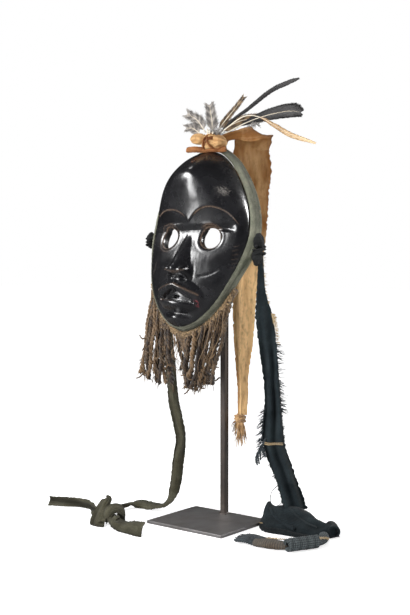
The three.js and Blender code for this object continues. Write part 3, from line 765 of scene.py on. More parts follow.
def wear_of(x, z, hole, front):
    """Where the black has rubbed through"""
    aside = np.abs(x - 2)
    brow = bell(z - brow_line(x) + 0.3, 0.55) * ease(5, 10, aside) * ease(66, 58, aside) * 0.75
    under = bell(hole - 3, 1.6) * ease(120, 126, z) * 0.4
    eyes = bell(hole - 0.7, 0.6) * 0.7 + bell(hole - 4.5, 0.7) * 0.25 * ease(0, -8, x)
    lips = bell(z - 39.5 - 9.5 * np.maximum(0, 1 - np.abs(x) / 34), 1.1) * (np.abs(x) < 32) * 0.5
    lips = lips + bell(z - 29.5, 0.9) * ease(2, -6, x) * (x > -27) * 0.6
    tip = bell(z - 62 - 0.02 * x * x, 1.0) * (np.abs(x) < 15) * 0.3
    nicks = 0.0
    for k, height in enumerate((79, 84, 88.5, 94, 99, 104)):
        nicks = nicks + 0.13 * scratch(x, z, 64 + k % 2, height, 69.5, height + 2.5, 0.6)
    nicks = nicks + scratch(x, z, -52, 60, -47, 75, 0.5) * 0.25
    return np.clip((brow + under + eyes + lips + tip + nicks) * front, 0, 1)


def build_mask():
    blank = carving_blank()
    tools = bmesh.new()
    for ex, ez in EYES:
        cutter(tools, ex, ez, EYE_RADIUS, EYE_RADIUS / EYE_FLATTENED)
    cutter(tools, *MOUTH_SLIT)
    tool = bpy.data.meshes.new("cutters")
    tools.to_mesh(tool)
    tools.free()
    mesh = voxel(boolean(blank, tool), MASK_MESH_SIZE)
    x, z, hole, front = shape_carving(mesh)
    set_attribute(mesh, "wear", wear_of(x, z, hole, front))
    streaks = rough(np.stack([x, z, 0 * x], 1), 0.5, 4.0)
    corner = bell(np.hypot(x - 30, (z - 31) * 0.6), 2.0) * ease(0.0, 0.35, streaks)
    set_attribute(mesh, "red", 0.8 * corner * front)
    pits = np.maximum(1.6 * bell(np.hypot(x - 43, z - 168), 9), 0.35 * bell(np.hypot(x - 52, z - 150), 14))
    pits = np.maximum(pits, 0.42 * ease(15, 50, x) * ease(205, 180, z) * ease(140, 152, z))
    set_attribute(mesh, "scars", np.maximum(pits, 0.1) * front)
    mesh.shade_smooth()
    put_in_scene(mesh, "carved_mask", "Patina wood", ["mask"])


# The rim band: cloth wrapped round the edge
def flare(angle):
    return 3 + 6 * ease(-0.8, 0, np.sin(angle))


def build_rim_band():
    shape = Shape()
    around, across = 300, 14
    angles = np.linspace(0, 2 * math.pi, around + 1) - math.pi / 2
    edge = outline(angles)
    run = lengths(np.stack([edge * np.cos(angles), edge * np.sin(angles)], 1))
    mesh, grid, corners, _ = template("grid", across, around)
    i = np.rint((grid[:, 1] + 0.5) * around).astype(int)
    a = grid[:, 0] + 0.5
    wide = flare(angles[i])
    turn = a * math.pi * 1.05 - 0.15
    seam = np.minimum(run[i], run[-1] - run[i])
    bumps = np.stack([run[i], 50 * a, 0 * a], 1)
    crinkle = (rough(bumps * (0.35, 1, 1), 0.1, 3.0) + 0.5 * rough(bumps, 0.3, 7.0)) * ease(0, 6, seam)
    reach = edge[i] - 0.8 + (wide + 0.4) * 0.5 * (1 + np.sin(turn - 0.6))
    reach = np.minimum(edge[i] + wide - 0.2, reach + crinkle * 0.8)
    h = -6.0 + 6.6 * np.cos(turn * 1.02) + crinkle * 0.7
    co = on_mask(reach * np.cos(angles[i]), h, WIDEST + reach * np.sin(angles[i]))
    # Painted shade: dark lines along the band stand in for the shade of pleats that the mesh does not have,
    # and the band is lighter where its crinkles stand out
    painted_pleat_shade = bell(a - 0.42 - 0.05 * np.sin(run[i] * 0.03), 0.035)
    painted_pleat_shade = painted_pleat_shade + 0.7 * bell(a - 0.62 + 0.04 * np.sin(run[i] * 0.05), 0.03)
    # The band is also made lighter towards the edge that wraps behind, and darker towards the bottom
    shade = 0.62 + 0.35 * crinkle - 0.4 * painted_pleat_shade + 0.3 * ease(0.5, 0.9, a)
    shade = shade - 0.35 * ease(0.1, -0.8, np.sin(angles[i]))
    shape.add(mesh, co, np.stack([a * 22, run[i]], 1)[corners] * MM, shade)
    shape.place("rim_band_cloth", "Rim cloth", "olive_cloth", ["rim_band"], 0.0011)
    trim = Shape()
    rng = random.Random(3)
    out = edge + flare(angles) - 0.6
    line = on_mask(out * np.cos(angles), -9.5 + 0 * out, WIDEST + out * np.sin(angles))
    trim.tube(line[12:around - 12], 0.5, 5, ref=(0, 1, 0), shade=0.5)
    for _ in range(120):
        i = rng.randint(60, 240)
        away = unit(line[i] - on_mask(0, 0, WIDEST)) * rng.uniform(0.6, 2.2)
        slide = (line[i + 1] - line[i]) * rng.uniform(-1.5, 1.5)
        path = np.array([line[i], line[i] + away * 0.6 + slide * 0.4, line[i] + away + slide])
        trim.tube(path, (0.3, 0.25, 0.1), 3, shade=rng.random())
    trim.place("rim_band_frayed_edge", "Beige thread", "olive_cloth", ["rim_band"])


# The beard: a braid along the chin's edge and hanging twisted strands
def beard_seat(angle, lift=0.0):
    out = outline(angle) + flare(angle) + 4
    return on_mask(out * np.cos(angle), -11 + lift, WIDEST + out * np.sin(angle))


def build_braid():
    shape = Shape()
    rng = random.Random(2)
    seat = beard_seat(np.radians(np.linspace(-136, -42, 170)))
    side, up = sides_of(seat, (0, 1, 0.2))
    run = lengths(seat)
    for k in range(3):
        phase = run / 13 * 2 * math.pi + k * 2 * math.pi / 3
        line = beside(seat, side, up, 2.3 * np.cos(phase), 1.5 * np.sin(2 * phase))
        for j in range(3):
            twist = phase * 2.4 + j * 2.1
            fine = beside(line, side, up, 0.9 * np.cos(twist), 0.9 * np.sin(twist))
            shape.tube(fine, 1.25, 5, shade=0.35 + 0.2 * j)
    for _ in range(260):
        i = rng.randint(1, 168)
        away = np.array(
            [rng.uniform(-1, 1), rng.uniform(-1.4, 0.4), rng.uniform(-1, 0.8)]
        ) * rng.uniform(1.5, 3.6)
        start = seat[i] + away * 0.6
        path = spline([start, start + away * 0.6, start + away + (0, 0, -0.8)], 4)
        shape.tube(path, (0.32, 0.28, 0.22, 0.1), 3, shade=rng.uniform(0.5, 1.2))
    shape.place("braided_chin_edge", "Golden fibre", "plant_fibre", ["beard"])


# Feet of the strands from left to right: share along the chin, foot x, y, z
STRAND_FEET = (
    (0.00, -74, -36, 200), (0.05, -73, -40, 184), (0.10, -68, -38, 180),
    (0.16, -60, -41, 177), (0.22, -51, -38, 176), (0.28, -42, -42, 178),
    (0.34, -33, -40, 180), (0.40, -20, -44, 196), (0.46, -8, -42, 186),
    (0.52, -4, -40, 178), (0.58, -1, -44, 174), (0.66, 6, -42, 170),
    (0.74, 13, -40, 172), (0.82, 20, -42, 175), (0.90, 27, -38, 178),
    (1.00, 35, -34, 182),
)


def strand_line(rng, f, spread):
    table = np.array(STRAND_FEET)
    foot = np.array([np.interp(f, table[:, 0], table[:, j]) for j in (1, 2, 3)])
    foot = foot + (rng.uniform(-4, 4), rng.uniform(-5, 9), rng.uniform(0, 15))
    top = beard_seat(math.radians(-133 + 84 * f), rng.uniform(-2, 3))
    t = np.linspace(0, 1, 14)[:, None]
    bow = np.sin(t * math.pi) * np.array([rng.uniform(-5, 5), rng.uniform(-5, 2), 0])
    wobble = np.sin(t * math.pi * rng.uniform(2.5, 5) + rng.uniform(0, 6)) * np.array([1.7, 1.2, 0]) * t
    return top + t * (foot - top) + bow + wobble * spread


def build_beard(m):
    rng = random.Random(11)
    twisted, loose = Shape(), Shape()
    for i in range(m.strands):
        f = (i + rng.uniform(0, 0.8)) / m.strands
        if 0.38 < f < 0.54 and rng.random() < 0.35:
            continue
        path = spline(strand_line(rng, f, 1.0), 70)
        shade = rng.choice((0.05, 0.2, 0.45, 0.8)) + 0.16 * np.sin(np.linspace(0, 26, 70) + i)
        thick = rng.uniform(2.1, 3.2) * (1 + 0.12 * np.sin(np.linspace(0, 30, 70) + 2 * i))
        twisted.yarn(path, thick, rng.uniform(9, 13), 2, 6, shade=shade, start=rng.uniform(0, 6))
        for _ in range(7):
            k = rng.randint(58, 69)
            split = np.array([rng.uniform(-5, 5), rng.uniform(-4, 4), -rng.uniform(2, 12)])
            tip = spline([path[k], path[k] + split * (0.7, 0.7, 0.3), path[k] + split], 8)
            tip[:, 2] = np.maximum(tip[:, 2], 166.5)
            loose.tube(tip, np.linspace(0.75, 0.2, 8), 4, shade=rng.uniform(0.15, 0.9))
    for i in range(80):
        path = spline(strand_line(rng, rng.random(), 2.4) + (rng.uniform(-4, 4), rng.uniform(-4, 4), 0), 24)
        path = path[: rng.randint(16, 24)]
        loose.tube(path, np.linspace(0.6, 0.25, len(path)), 3, shade=rng.uniform(0.5, 1.3))
    for i in range(46):
        f = rng.choice((rng.uniform(0, 0.36), rng.uniform(0.52, 1)))
        start = strand_line(rng, f, 1.0)[rng.randint(8, 12)]
        swing = np.array([rng.uniform(-16, 16), rng.uniform(-8, 2), rng.uniform(-14, 5)])
        path = spline([start, start + swing * 0.5 + (0, -2, -3), start + swing], 14)
        path[:, 2] = np.maximum(path[:, 2], 168)
        loose.yarn(path, np.linspace(1.3, 0.8, 14), 6, 2, 4, shade=rng.uniform(0.2, 0.8))
    twisted.place("beard_strands", "Fibre", "plant_fibre", ["beard"])
    loose.place("beard_loose_hairs", "Fibre", "plant_fibre", ["beard"])


# Ear knots: crumpled cloth with turns of the same cloth round it
def build_ear_knots():
    shape = Shape()
    shape.lump((92.0, -18, 357), (6.2, 7.6, 10.5), 0.28, 0.12, 2.0, 0.5, (40, 28), (1, 1, 0.4))
    shape.lump((90.5, -20, 339), (6.0, 6.8, 9.6), 0.28, 0.14, 5.0, 0.4, (40, 28), (1, 1, 0.4))
    for k, height in enumerate((350.5, 346.5, 343)):
        shape.hoop((92, -18, height), (6.6, 7.2), 2.4, k, 30, 2.0)
    strap = spline(
        [(93, -25, 352), (91, -21.5, 354.5), (89.5, -14, 352), (88.6, -11, 345), (88.3, -9.4, 336)], 24
    )
    shape.tube(strap, 2.7, 10, ref=(0, 1, 0), shade=0.8, flat=0.6)
    shape.place("ear_tie_right", "Black cloth", "black_cloth", ["ear_knot_right"])
    shape = Shape()
    shape.lump((-81.6, -14.5, 361), (5.6, 7.2, 10), 0.28, 0.13, 5.0, 0.45, (36, 26), (1, 1, 0.4))
    for k, height in enumerate((365, 361, 356)):
        shape.hoop((-81.6, -14.5, height), (5.6, 7.2), 2.2, k, 30, 1.7)
    shape.place("ear_tie_left", "Black cloth", "black_cloth", ["ear_knot_left"])


# The crest: a twisted hide roll and its knot, and the anchor that the feathers start from
def crest_point(f):
    return on_mask(-6.5 + 24 * f, 15 - 8 * np.asarray(f), 223.5 + 3.5 * f)


def crest_anchor():
    return on_mask(-6.5, 13, 235)


def build_crest():
    shape = Shape()
    f = np.linspace(-1, 1, 80)
    roll = crest_point(f)
    swell = 0.75 + 0.25 * np.sqrt(np.maximum(0, 1 - f**8))
    side, up = sides_of(roll, (0, 1, 0))
    shape.tube(roll, 3.0 * swell, 16, shade=0.3)
    for k in range(6):
        phase = f * 7 + k * 2 * math.pi / 6
        line = beside(roll, side, up, 2.5 * swell * np.cos(phase), 2.5 * swell * np.sin(phase))
        shape.tube(line, 1.4 + 0.35 * np.sin(f * 14 + k), 8, shade=0.35 + 0.08 * k)
    shape.place("crest_roll", "Rust hide", "rust_hide", ["crest_band"])
    shape = Shape()
    wads = (
        ((-13, 4, 10), (11.5, 9.5, 7.2), 0.08), ((4, 0, 5), (12, 10, 8.5), 0.2),
        ((13, -3, 8), (11.5, 9.5, 9.2), 0.18),
        ((3, 2, 13), (7.5, 7, 5), 0.22),
    )
    for k, ((dx, dh, dz), size, folds) in enumerate(wads):
        shape.lump(
            on_mask(-6.5 + dx, 14 + dh, 226 + dz), size, folds, 0.12, 4.0 + k, 0.5, (48, 32), (0.4, 1, 1.6)
        )
    shape.place("crest_knot_wads", "Tan hide", "tan_hide", ["crest_knot"])
    shape = Shape()
    centre = on_mask(-2, 17, 232)
    for k, (tilt, reach) in enumerate(((0.25, 10.0), (0.6, 9.0), (-0.35, 9.5))):
        turn = np.linspace(0, 2 * math.pi, 34)
        swing = reach * np.cos(turn)
        loop = np.stack(
            [np.sin(tilt) * swing + 3 * k - 3, reach * 0.9 * np.sin(turn), np.cos(tilt) * 0.8 * swing], 1
        )
        shape.tube(centre + loop, 1.7, 8, ref=(1, 0, 0.1), shade=0.15 + 0.15 * k, flat=0.5)
    shape.place("crest_knot_ties", "Rust hide", "rust_hide", ["crest_knot"])


# The tan strip from the crest over a fold and down behind the mask: x, y, z, half-width, azimuth, elevation
BACK_STRIP = (
    (23, -2, 480, 6.5, 54, -150), (22.5, 8, 488.8, 5.5, 54, -150), (30.6, 18, 492.2, 7, 54, -150),
    (41.9, 28, 493.5, 11.5, 62, -148), (49.5, 40, 494.7, 16.5, 76, -112), (41.4, 47, 486.5, 20.5, 58, -38),
    (30.7, 50, 476, 22.5, 40, -6), (35.2, 50, 452, 22.5, 38, 0), (33.0, 50, 428.9, 21.5, 38, 0),
    (30.9, 51.7, 399.9, 20.5, 38, 0), (28.0, 53, 365, 19.5, 38, 0), (22.5, 54, 330, 17.5, 38, 0),
    (17.6, 54.5, 295, 15.5, 38, 0), (16.5, 54.7, 264.4, 14.2, 38, 0), (16.2, 54.7, 239.7, 13.0, 40, 0),
    (15.7, 54.5, 211, 10.2, 44, 0), (15.5, 54, 182.3, 7.2, 50, 0), (15.8, 54, 160, 6.6, 46, 0),
    (14.8, 53.9, 134, 6.0, 38, 0),
)


def threads(shape, rng, line, away, count, reach, thick, shade, curl=1.0):
    """Loose threads standing out from an edge line"""
    for _ in range(count):
        i = rng.randint(0, len(line) - 1)
        out = np.array(away) * rng.uniform(*reach) + np.array([rng.uniform(-1, 1) for _ in range(3)]) * curl
        start = line[i] - out * 0.15
        bend = np.array([rng.uniform(-1, 1), rng.uniform(-1, 1), rng.uniform(-1.6, 0.4)]) * curl
        path = spline([start, start + out * 0.5 + bend * 0.6, line[i] + out + bend], 6)
        shape.tube(path, np.linspace(thick, thick * 0.35, 6), 3, shade=rng.uniform(*shade))


def hide_tone_and_painted_light(z):
    """Orange-brown at the top, partly painted shade where the mask shades the strip; pale half way down,
    partly painted light where the lamps fall on it; brown again at the end
    """
    return 0.08 + 0.9 * ease(390, 335, z) - 0.3 * ease(250, 190, z)


def build_back_strip(m):
    shape = Shape()

    def wave(a, run, half):
        flat = np.stack([a * 12, run * 0.12, 0 * a], 1)
        fold = 2.8 * rough(flat, 0.11, 1.5) + 0.8 * rough(np.stack([a * 40, run * 0.5, 0 * a], 1), 0.11, 4.0)
        tuck = (2.2 * bell(a + 0.42, 0.14) - 5.0 * ease(-0.45, -0.95, a)) * ease(190, 260, run)
        return (fold + tuck) * np.minimum(1, half / 12)

    # Painted light and shade along the strip, with the hide's own tone
    tone = hide_tone_and_painted_light(spline(BACK_STRIP, 241)[:, 2])
    run = shape.strip(BACK_STRIP, 34, 240, wave=wave, ragged=0.12, seed=3.0, shade=tone)
    hung = shape.place("back_strip_hide", "Tan hide", "tan_hide", ["back_strip"], m.hide_thickness)
    shape = Shape()
    rng = random.Random(5)
    knot = np.array([11.5, 53.7, 129])
    shape.lump(knot, (7.2, 6.4, 7.0), 0.26, 0.16, 2.0, 0.5, (36, 26))
    for drop in (3, -2):
        shape.hoop(knot + (0, 0, drop), (6.8, 6), 1.6, drop, 26, 1.8, shade=0.4, flat=0.7)
    for k in range(64):
        foot = np.array([rng.uniform(-9, 9), rng.uniform(-4, 4), -rng.uniform(20, 39)])
        if k % 8 == 0:
            foot = np.array([rng.uniform(-16, -9), rng.uniform(-3, 3), -rng.uniform(12, 24)])
        half_way = knot + foot * (0.5, 0.5, 0.4) + (rng.uniform(-3, 3), rng.uniform(-2, 2), 0)
        line = spline([knot + foot * 0.1, half_way, knot + foot], 14)
        line[:, 2] = np.maximum(line[:, 2], 89.5)
        shape.tube(line, np.linspace(1.2, 0.3, 14), 5, shade=rng.uniform(0.1, 0.9), flat=0.6)
    end = shape.place("back_strip_tails", "Golden thread", "tan_hide", ["back_strip_end"])


# The indigo strip
INDIGO = (
    (88.5, -10.0, 345.8, 2.8, 38, 0), (88.2, -9.2, 333.8, 3.2, 38, 0), (87.7, -8.1, 316.9, 4.0, 38, 0),
    (87.3, -7.0, 300.0, 5.2, 38, 0), (87.9, -5.3, 285.4, 7.5, 38, 0), (88.7, -3.6, 272.0, 10.0, 38, 0),
    (89.8, -1.3, 256.2, 10.8, 38, 0), (91.6, 2.4, 228.0, 10.5, 38, 0), (93.2, 6.9, 189.8, 9.2, 38, 0),
    (93.6, 9.7, 161.3, 9.7, 38, 0), (92.7, 10.7, 140.1, 11.6, 38, 0), (92.3, 11.9, 121.0, 13.3, 38, 0),
    (92.8, 13.5, 110.0, 13.3, 38, 0), (95.4, 16.5, 96.3, 12.9, 38, 0), (100.6, 22.1, 77.5, 12.6, 38, 5),
    (103.5, 25.5, 64.8, 12.2, 38, 10), (106.5, 29.0, 50.9, 12.8, 38, 12), (109.4, 32.4, 37.0, 13.8, 38, 14),
    (111.4, 35.1, 24.3, 14.5, 38, 14),
)


def build_indigo(m):
    shape = Shape()

    def wave(a, run, half):
        lower = ease(90, 140, run)
        gather = np.sin(a * 6 + run * 0.018) * (0.5 + 1.3 * lower)
        crumple = 1.8 * rough(np.stack([a * 20, run * 0.2, 0 * a], 1), 0.1, 8.0)
        return (gather + crumple) * np.minimum(1, half / 11)

    run = shape.strip(INDIGO, 30, 230, wave=wave, ragged=0.16, seed=6.0)
    hung = shape.place(
        "indigo_strip_cloth", "Indigo cloth", "indigo_cloth", ["indigo_strip"], m.cloth_thickness
    )
    rng = random.Random(8)
    fine = spline(INDIGO, 300)
    side = np.array([math.cos(math.radians(SHOWN_SIDE)), math.sin(math.radians(SHOWN_SIDE)), 0])
    right = fine[:, :3] + side * fine[:, 3:4]
    left = fine[:, :3] - side * fine[:, 3:4]
    pale, dark = Shape(), Shape()
    # Where on the edge, between which heights, which way, how many, reach, thickness, shades and curl
    for fringe, edge, low, top, away, count, reach, thick, shade, curl in (
        (pale, right, 284, 342, side, 50, (1, 4), 0.45, (0.1, 0.8), 1.0),
        (pale, right, 234, 272, side, 230, (1.5, 5.5), 0.42, (0.0, 0.75), 0.5),
        (dark, right, 150, 236, side + (0, 0, -0.2), 150, (2, 9), 0.5, (0.0, 0.7), 2.2),
        (dark, right, 110, 150, side, 40, (1, 4), 0.4, (0.0, 0.7), 1.4),
        (dark, left, 96, 160, -side + (0, 0, -0.7), 130, (2, 9), 0.55, (0.0, 0.7), 2.0),
        (dark, left, 30, 90, -side + (0, 0, -0.4), 40, (1, 4), 0.4, (0.0, 0.7), 1.2),
    ):
        stretch = edge[(fine[:, 2] > low) & (fine[:, 2] < top)]
        threads(fringe, rng, stretch, away, count, reach, thick, shade, curl)
    for k in range(7):
        z = 118 - 2.6 * k
        drop = rng.uniform(10, 24)
        start = np.array([86 - 1.1 * k, 5.5 - 0.8 * k, z])
        path = spline([start, start + (-3, -2, -drop * 0.5), start + (rng.uniform(-4, 2), -1, -drop)], 14)
        dark.yarn(path, 1.3, 6, 2, 4, shade=0.5)
    snag = spline([(97.5, 16, 60), (91, 11, 50), (90, 11, 38), (95, 15, 33), (101, 20, 37)], 30)
    dark.tube(snag, 0.4, 5, shade=0.5)
    for k in range(2):
        tie = np.array([92.4, 10.5, 112.0 - 2.0 * k])
        line = spline([
            tie - side * 12.6 + (0, 2, 1), tie - side * 5 + (1.6, -2.6, 0),
            tie + side * 4 + (1.6, -2.8, 0.6 * k), tie + side * 12.6 + (0, 1, -0.5),
        ], 20)
        pale.yarn(line, 0.7, 4.5, 2, 4, shade=0.15 + 0.1 * k)
    pale_edge = pale.place("indigo_strip_pale_threads", "Beige thread", "indigo_cloth", ["indigo_strip"])
    dark_edge = dark.place("indigo_strip_dark_threads", "Indigo thread", "indigo_cloth", ["indigo_strip"])
    build_heap(m)
    build_woven_end()


def spiral(shape, start, end, outer, turns, gap, rib=0.0, pitch=3.0, across=60):
    """Rolled cloth between two points: a sheet wound round the line that joins them"""
    start, end = np.array(start, float), np.array(end, float)
    axis = unit(end - start)
    level = unit(np.cross(axis, (0, 0, 1)))
    up = np.cross(level, axis)
    t = np.linspace(0, 1, int(60 * turns))
    angle = t * turns * 2 * math.pi
    radius = outer - gap * turns * (1 - t)
    path = beside((start + end) / 2, level, up, radius * np.cos(angle), radius * np.sin(angle))
    half = np.linalg.norm(end - start) / 2

    def wave(a, run, _):
        uneven = 0.5 * rough(np.stack([a * half, run, 0 * a], 1), 0.12, 3.0)
        return rib * np.sin(a * half / pitch * 2 * math.pi) + uneven

    return shape.sheet(path, axis, half, across, wave=wave, ragged=0.05, seed=2.0)


# The heap of indigo cloth at the strip's foot
def build_heap(m):
    shape = Shape()
    shape.mound(
        ((66, 31, 16), (73, 30, 32.0), (79, 32, 27.5), (92, 32, 30.5), (104, 32, 32.5), (118, 32, 30.5),
         (131, 32, 27), (143, 33, 22), (155, 34, 17), (166, 37, 14)),
        ((60, 29, 0.6), (70, 19, 0.6), (84, 13, 0.6), (96, 12, 0.6), (106, 13, 0.6), (116, 14, 0.6),
         (128, 14, 0.6), (140, 18, 0.6), (152, 24, 0.6), (164, 32, 0.6)),
        ((61, 40, 0.6), (70, 47, 0.6), (84, 51, 0.6), (96, 52, 0.6), (106, 52, 0.6), (118, 52, 0.6),
         (132, 51, 0.6), (145, 49, 0.6), (157, 48, 0.6), (168, 46, 0.6)),
        (72, 110), 1.3, 4.0, 0.5,
    )
    # The lower front layer gets a low shade, painted darker as the shade that it lies in
    shape.mound(
        ((66, 23, 5), (77, 16, 6), (90, 12, 6.5), (104, 13, 6), (118, 14, 5), (132, 15, 5), (144, 20, 4)),
        ((66, 20, 0.5), (77, 11, 0.5), (90, 7, 0.5), (104, 8, 0.5), (118, 9, 0.5), (132, 11, 0.5),
         (144, 16, 0.5)),
        ((68, 28, 0.5), (80, 24, 0.5), (92, 22, 0.5), (106, 22, 0.5), (120, 24, 0.5), (134, 25, 0.5),
         (146, 28, 0.5)),
        (40, 80), 1.2, 9.0, 0.15,
    )
    fold = (
        (72.5, 30.5, 28), (80, 25, 25.5), (88, 20, 20.5), (98, 17.5, 15.5), (110, 16.5, 11.5),
        (122, 15.5, 8.5)
    )
    shape.tube(spline(fold, 60), np.linspace(0.8, 2.6, 60), 12, ref=(0, -0.6, 0.8), flat=0.4, shade=0.75)
    fold = ((100, 30, 33), (112, 24, 28.5), (124, 21, 22.5), (136, 21, 17.0), (148, 25, 13))
    shape.tube(spline(fold, 60), np.linspace(1.0, 1.4, 60), 12, ref=(0, -0.6, 0.8), flat=0.3, shade=0.6)
    shape.place("indigo_heap_cloth", "Indigo cloth", "indigo_cloth", ["indigo_heap"], floor=0.2)
    shape = Shape()
    spiral(shape, (167.5, 34.5, 8.6), (152, 52, 8.8), 7.4, 1.5, 1.9, 0, 3, 24)
    shape.place("indigo_heap_roll", "Indigo cloth", "indigo_cloth", ["indigo_heap"], m.cloth_thickness, 0.8)
    trim = Shape()
    rng = random.Random(4)
    edge = spline([(64, 27.5, 4), (68, 22, 7), (74, 17, 8)], 30)
    threads(trim, rng, edge, (-0.3, -1, 0.2), 26, (0.8, 2.4), 0.4, (0.0, 0.7), 0.8)
    trim.place("indigo_heap_threads", "Beige thread", "indigo_cloth", ["indigo_heap"])


# The woven end: navy cords, a brown woven length, and a ribbed grey roll
def build_woven_end():
    cords = Shape()
    rng = random.Random(6)
    for k in range(10):
        t = k / 9
        start = spline([(84, -54, 3.2), (87, -47, 6.5), (91, -37, 7.0), (95, -30, 4.0)], 10)[k]
        end = spline([(118, -56, 3.2), (119, -52, 8.0), (121, -47, 10), (124, -43, 6)], 10)[k]
        mid = (start + end) / 2 + (0, -2, 2.2 - 1.2 * t)
        path = spline([start, mid, end], 40)
        thick = 2.0 + 0.3 * math.sin(k * 2.1)
        cords.yarn(path, thick, 7, 2, 6, ref=(0, 0, 1), shade=0.35 + 0.3 * rng.random(), start=k)
        for _ in range(4):
            tip = start + (rng.uniform(-5, -1), rng.uniform(-3, 3), rng.uniform(-1.5, 2))
            frayed = spline([start, (start + tip) / 2 + (0, 0, 0.8), tip], 8)
            cords.tube(frayed, np.linspace(0.8, 0.3, 8), 4, shade=rng.uniform(0.3, 0.9))
    cords.place("woven_end_cords", "Indigo thread", "indigo_cloth", ["woven_end"], floor=0.4)
    band = Shape()
    path = spline(
        [(113, -51, 5.4), (124, -50.5, 6.0), (135, -48.5, 6.2), (145, -45, 5.6), (152, -39, 4.6)], 120
    )

    def weave(angle, k):
        rows = 0.035 * np.sin(k * 1.35) * (0.6 + 0.4 * np.sin(angle * 9))
        return rows + 0.02 * np.sin(k * 0.21 + 2 * np.sin(angle))

    def ribs(_, k):
        return 0.04 * np.sin(k * 1.5)

    thick = spline([[8.5], [9.4], [9.8], [8.6], [6.0]], 120)[:, 0]
    band.tube(path, thick, 48, ref=(0, 0, 1), flat=0.56, rib=weave)
    band.place("woven_end_brown", "Brown weave", "indigo_cloth", ["woven_end"], floor=0.3)
    roll = Shape()
    spiral(roll, (155, -50.0, 9.0), (171, -12, 8.0), 8.2, 2.2, 2.3, 0.4, 3.1, 110)
    roll.place("woven_end_grey_roll", "Grey rib", "indigo_cloth", ["woven_end"], 0.0014, 0.9)
    tail = Shape()
    path = spline([(169, -14, 6.8), (170, -2, 6.6), (167, 10, 6.4), (160, 22, 6.0)], 70)
    thick = spline([[6.6], [6.9], [6.6], [5.4]], 70)[:, 0]
    tail.tube(path, thick, 32, ref=(0, 0, 1), flat=0.8, rib=ribs)
    tail.place("woven_end_grey_tail", "Grey rib", "indigo_cloth", ["woven_end"], floor=0.3)
    pale = Shape()
    line = spline([(121, -42.5, 9.5), (132, -41, 10.5), (144, -38, 10.5), (152, -35, 9)], 60)
    threads(pale, rng, line, (0.1, 0.6, 0.7), 150, (0.6, 3.0), 0.5, (0.2, 1.0), 1.0)
    line = spline([(172, -12, 11.5), (176, -4, 11.0), (176, 4, 8)], 30)
    threads(pale, rng, line, (0.7, 0.5, 0.3), 90, (0.6, 3.4), 0.5, (0.2, 1.0), 1.0)
    pale.place("woven_end_pale_fringe", "Beige thread", "indigo_cloth", ["woven_end"], floor=0.3)


# The olive strip, its knot on the floor and its loose ends
OLIVE = (
    (-80.0, -2.5, 356, 3.4, 38, 0), (-76.0, 1.0, 300, 5.5, 30, 0), (-70, 4, 240, 6, 50, 0),
    (-64.3, 4.8, 181, 6.4, 24, 0), (-59.8, 4.1, 150, 6.8, 52, 0), (-53.9, 4.2, 127, 7.2, 20, 0),
    (-47.0, 3.5, 102, 6.6, 58, 0), (-49.9, 1.5, 77, 7.4, 30, 0), (-54, 2, 50, 7.0, 22, 10),
    (-60.5, 3, 30, 7.0, 16, 30), (-72, 5.5, 15, 6.6, 10, 50), (-86, 7.4, 7.5, 6.4, 5, 62),
    (-104, 7, 5.2, 6.6, 0, 40), (-118, 4, 6.2, 6.2, -10, 25), (-128, -6, 6.0, 5.4, -40, 20),
    (-134, -22, 5.0, 5.4, -60, 30), (-132, -40, 5, 5.4, -80, 40), (-125, -56, 6, 5.6, -60, 40),
)


def folded_wave(depth, phase, seed):
    """Cross-section of a strip that is folded and twisted along itself"""

    def wave(a, run, half):
        swing = 2.6 + 0.8 * np.sin(run * 0.03 + phase)
        fold = depth * np.cos(a * swing + 0.9 * np.sin(run * 0.045 + phase))
        creases = 0.4 - np.abs(rough(np.stack([a * 16, run * 0.16, 0 * a], 1), 0.13, seed))
        return fold + 2.4 * creases * np.minimum(1, half / 6)

    return wave


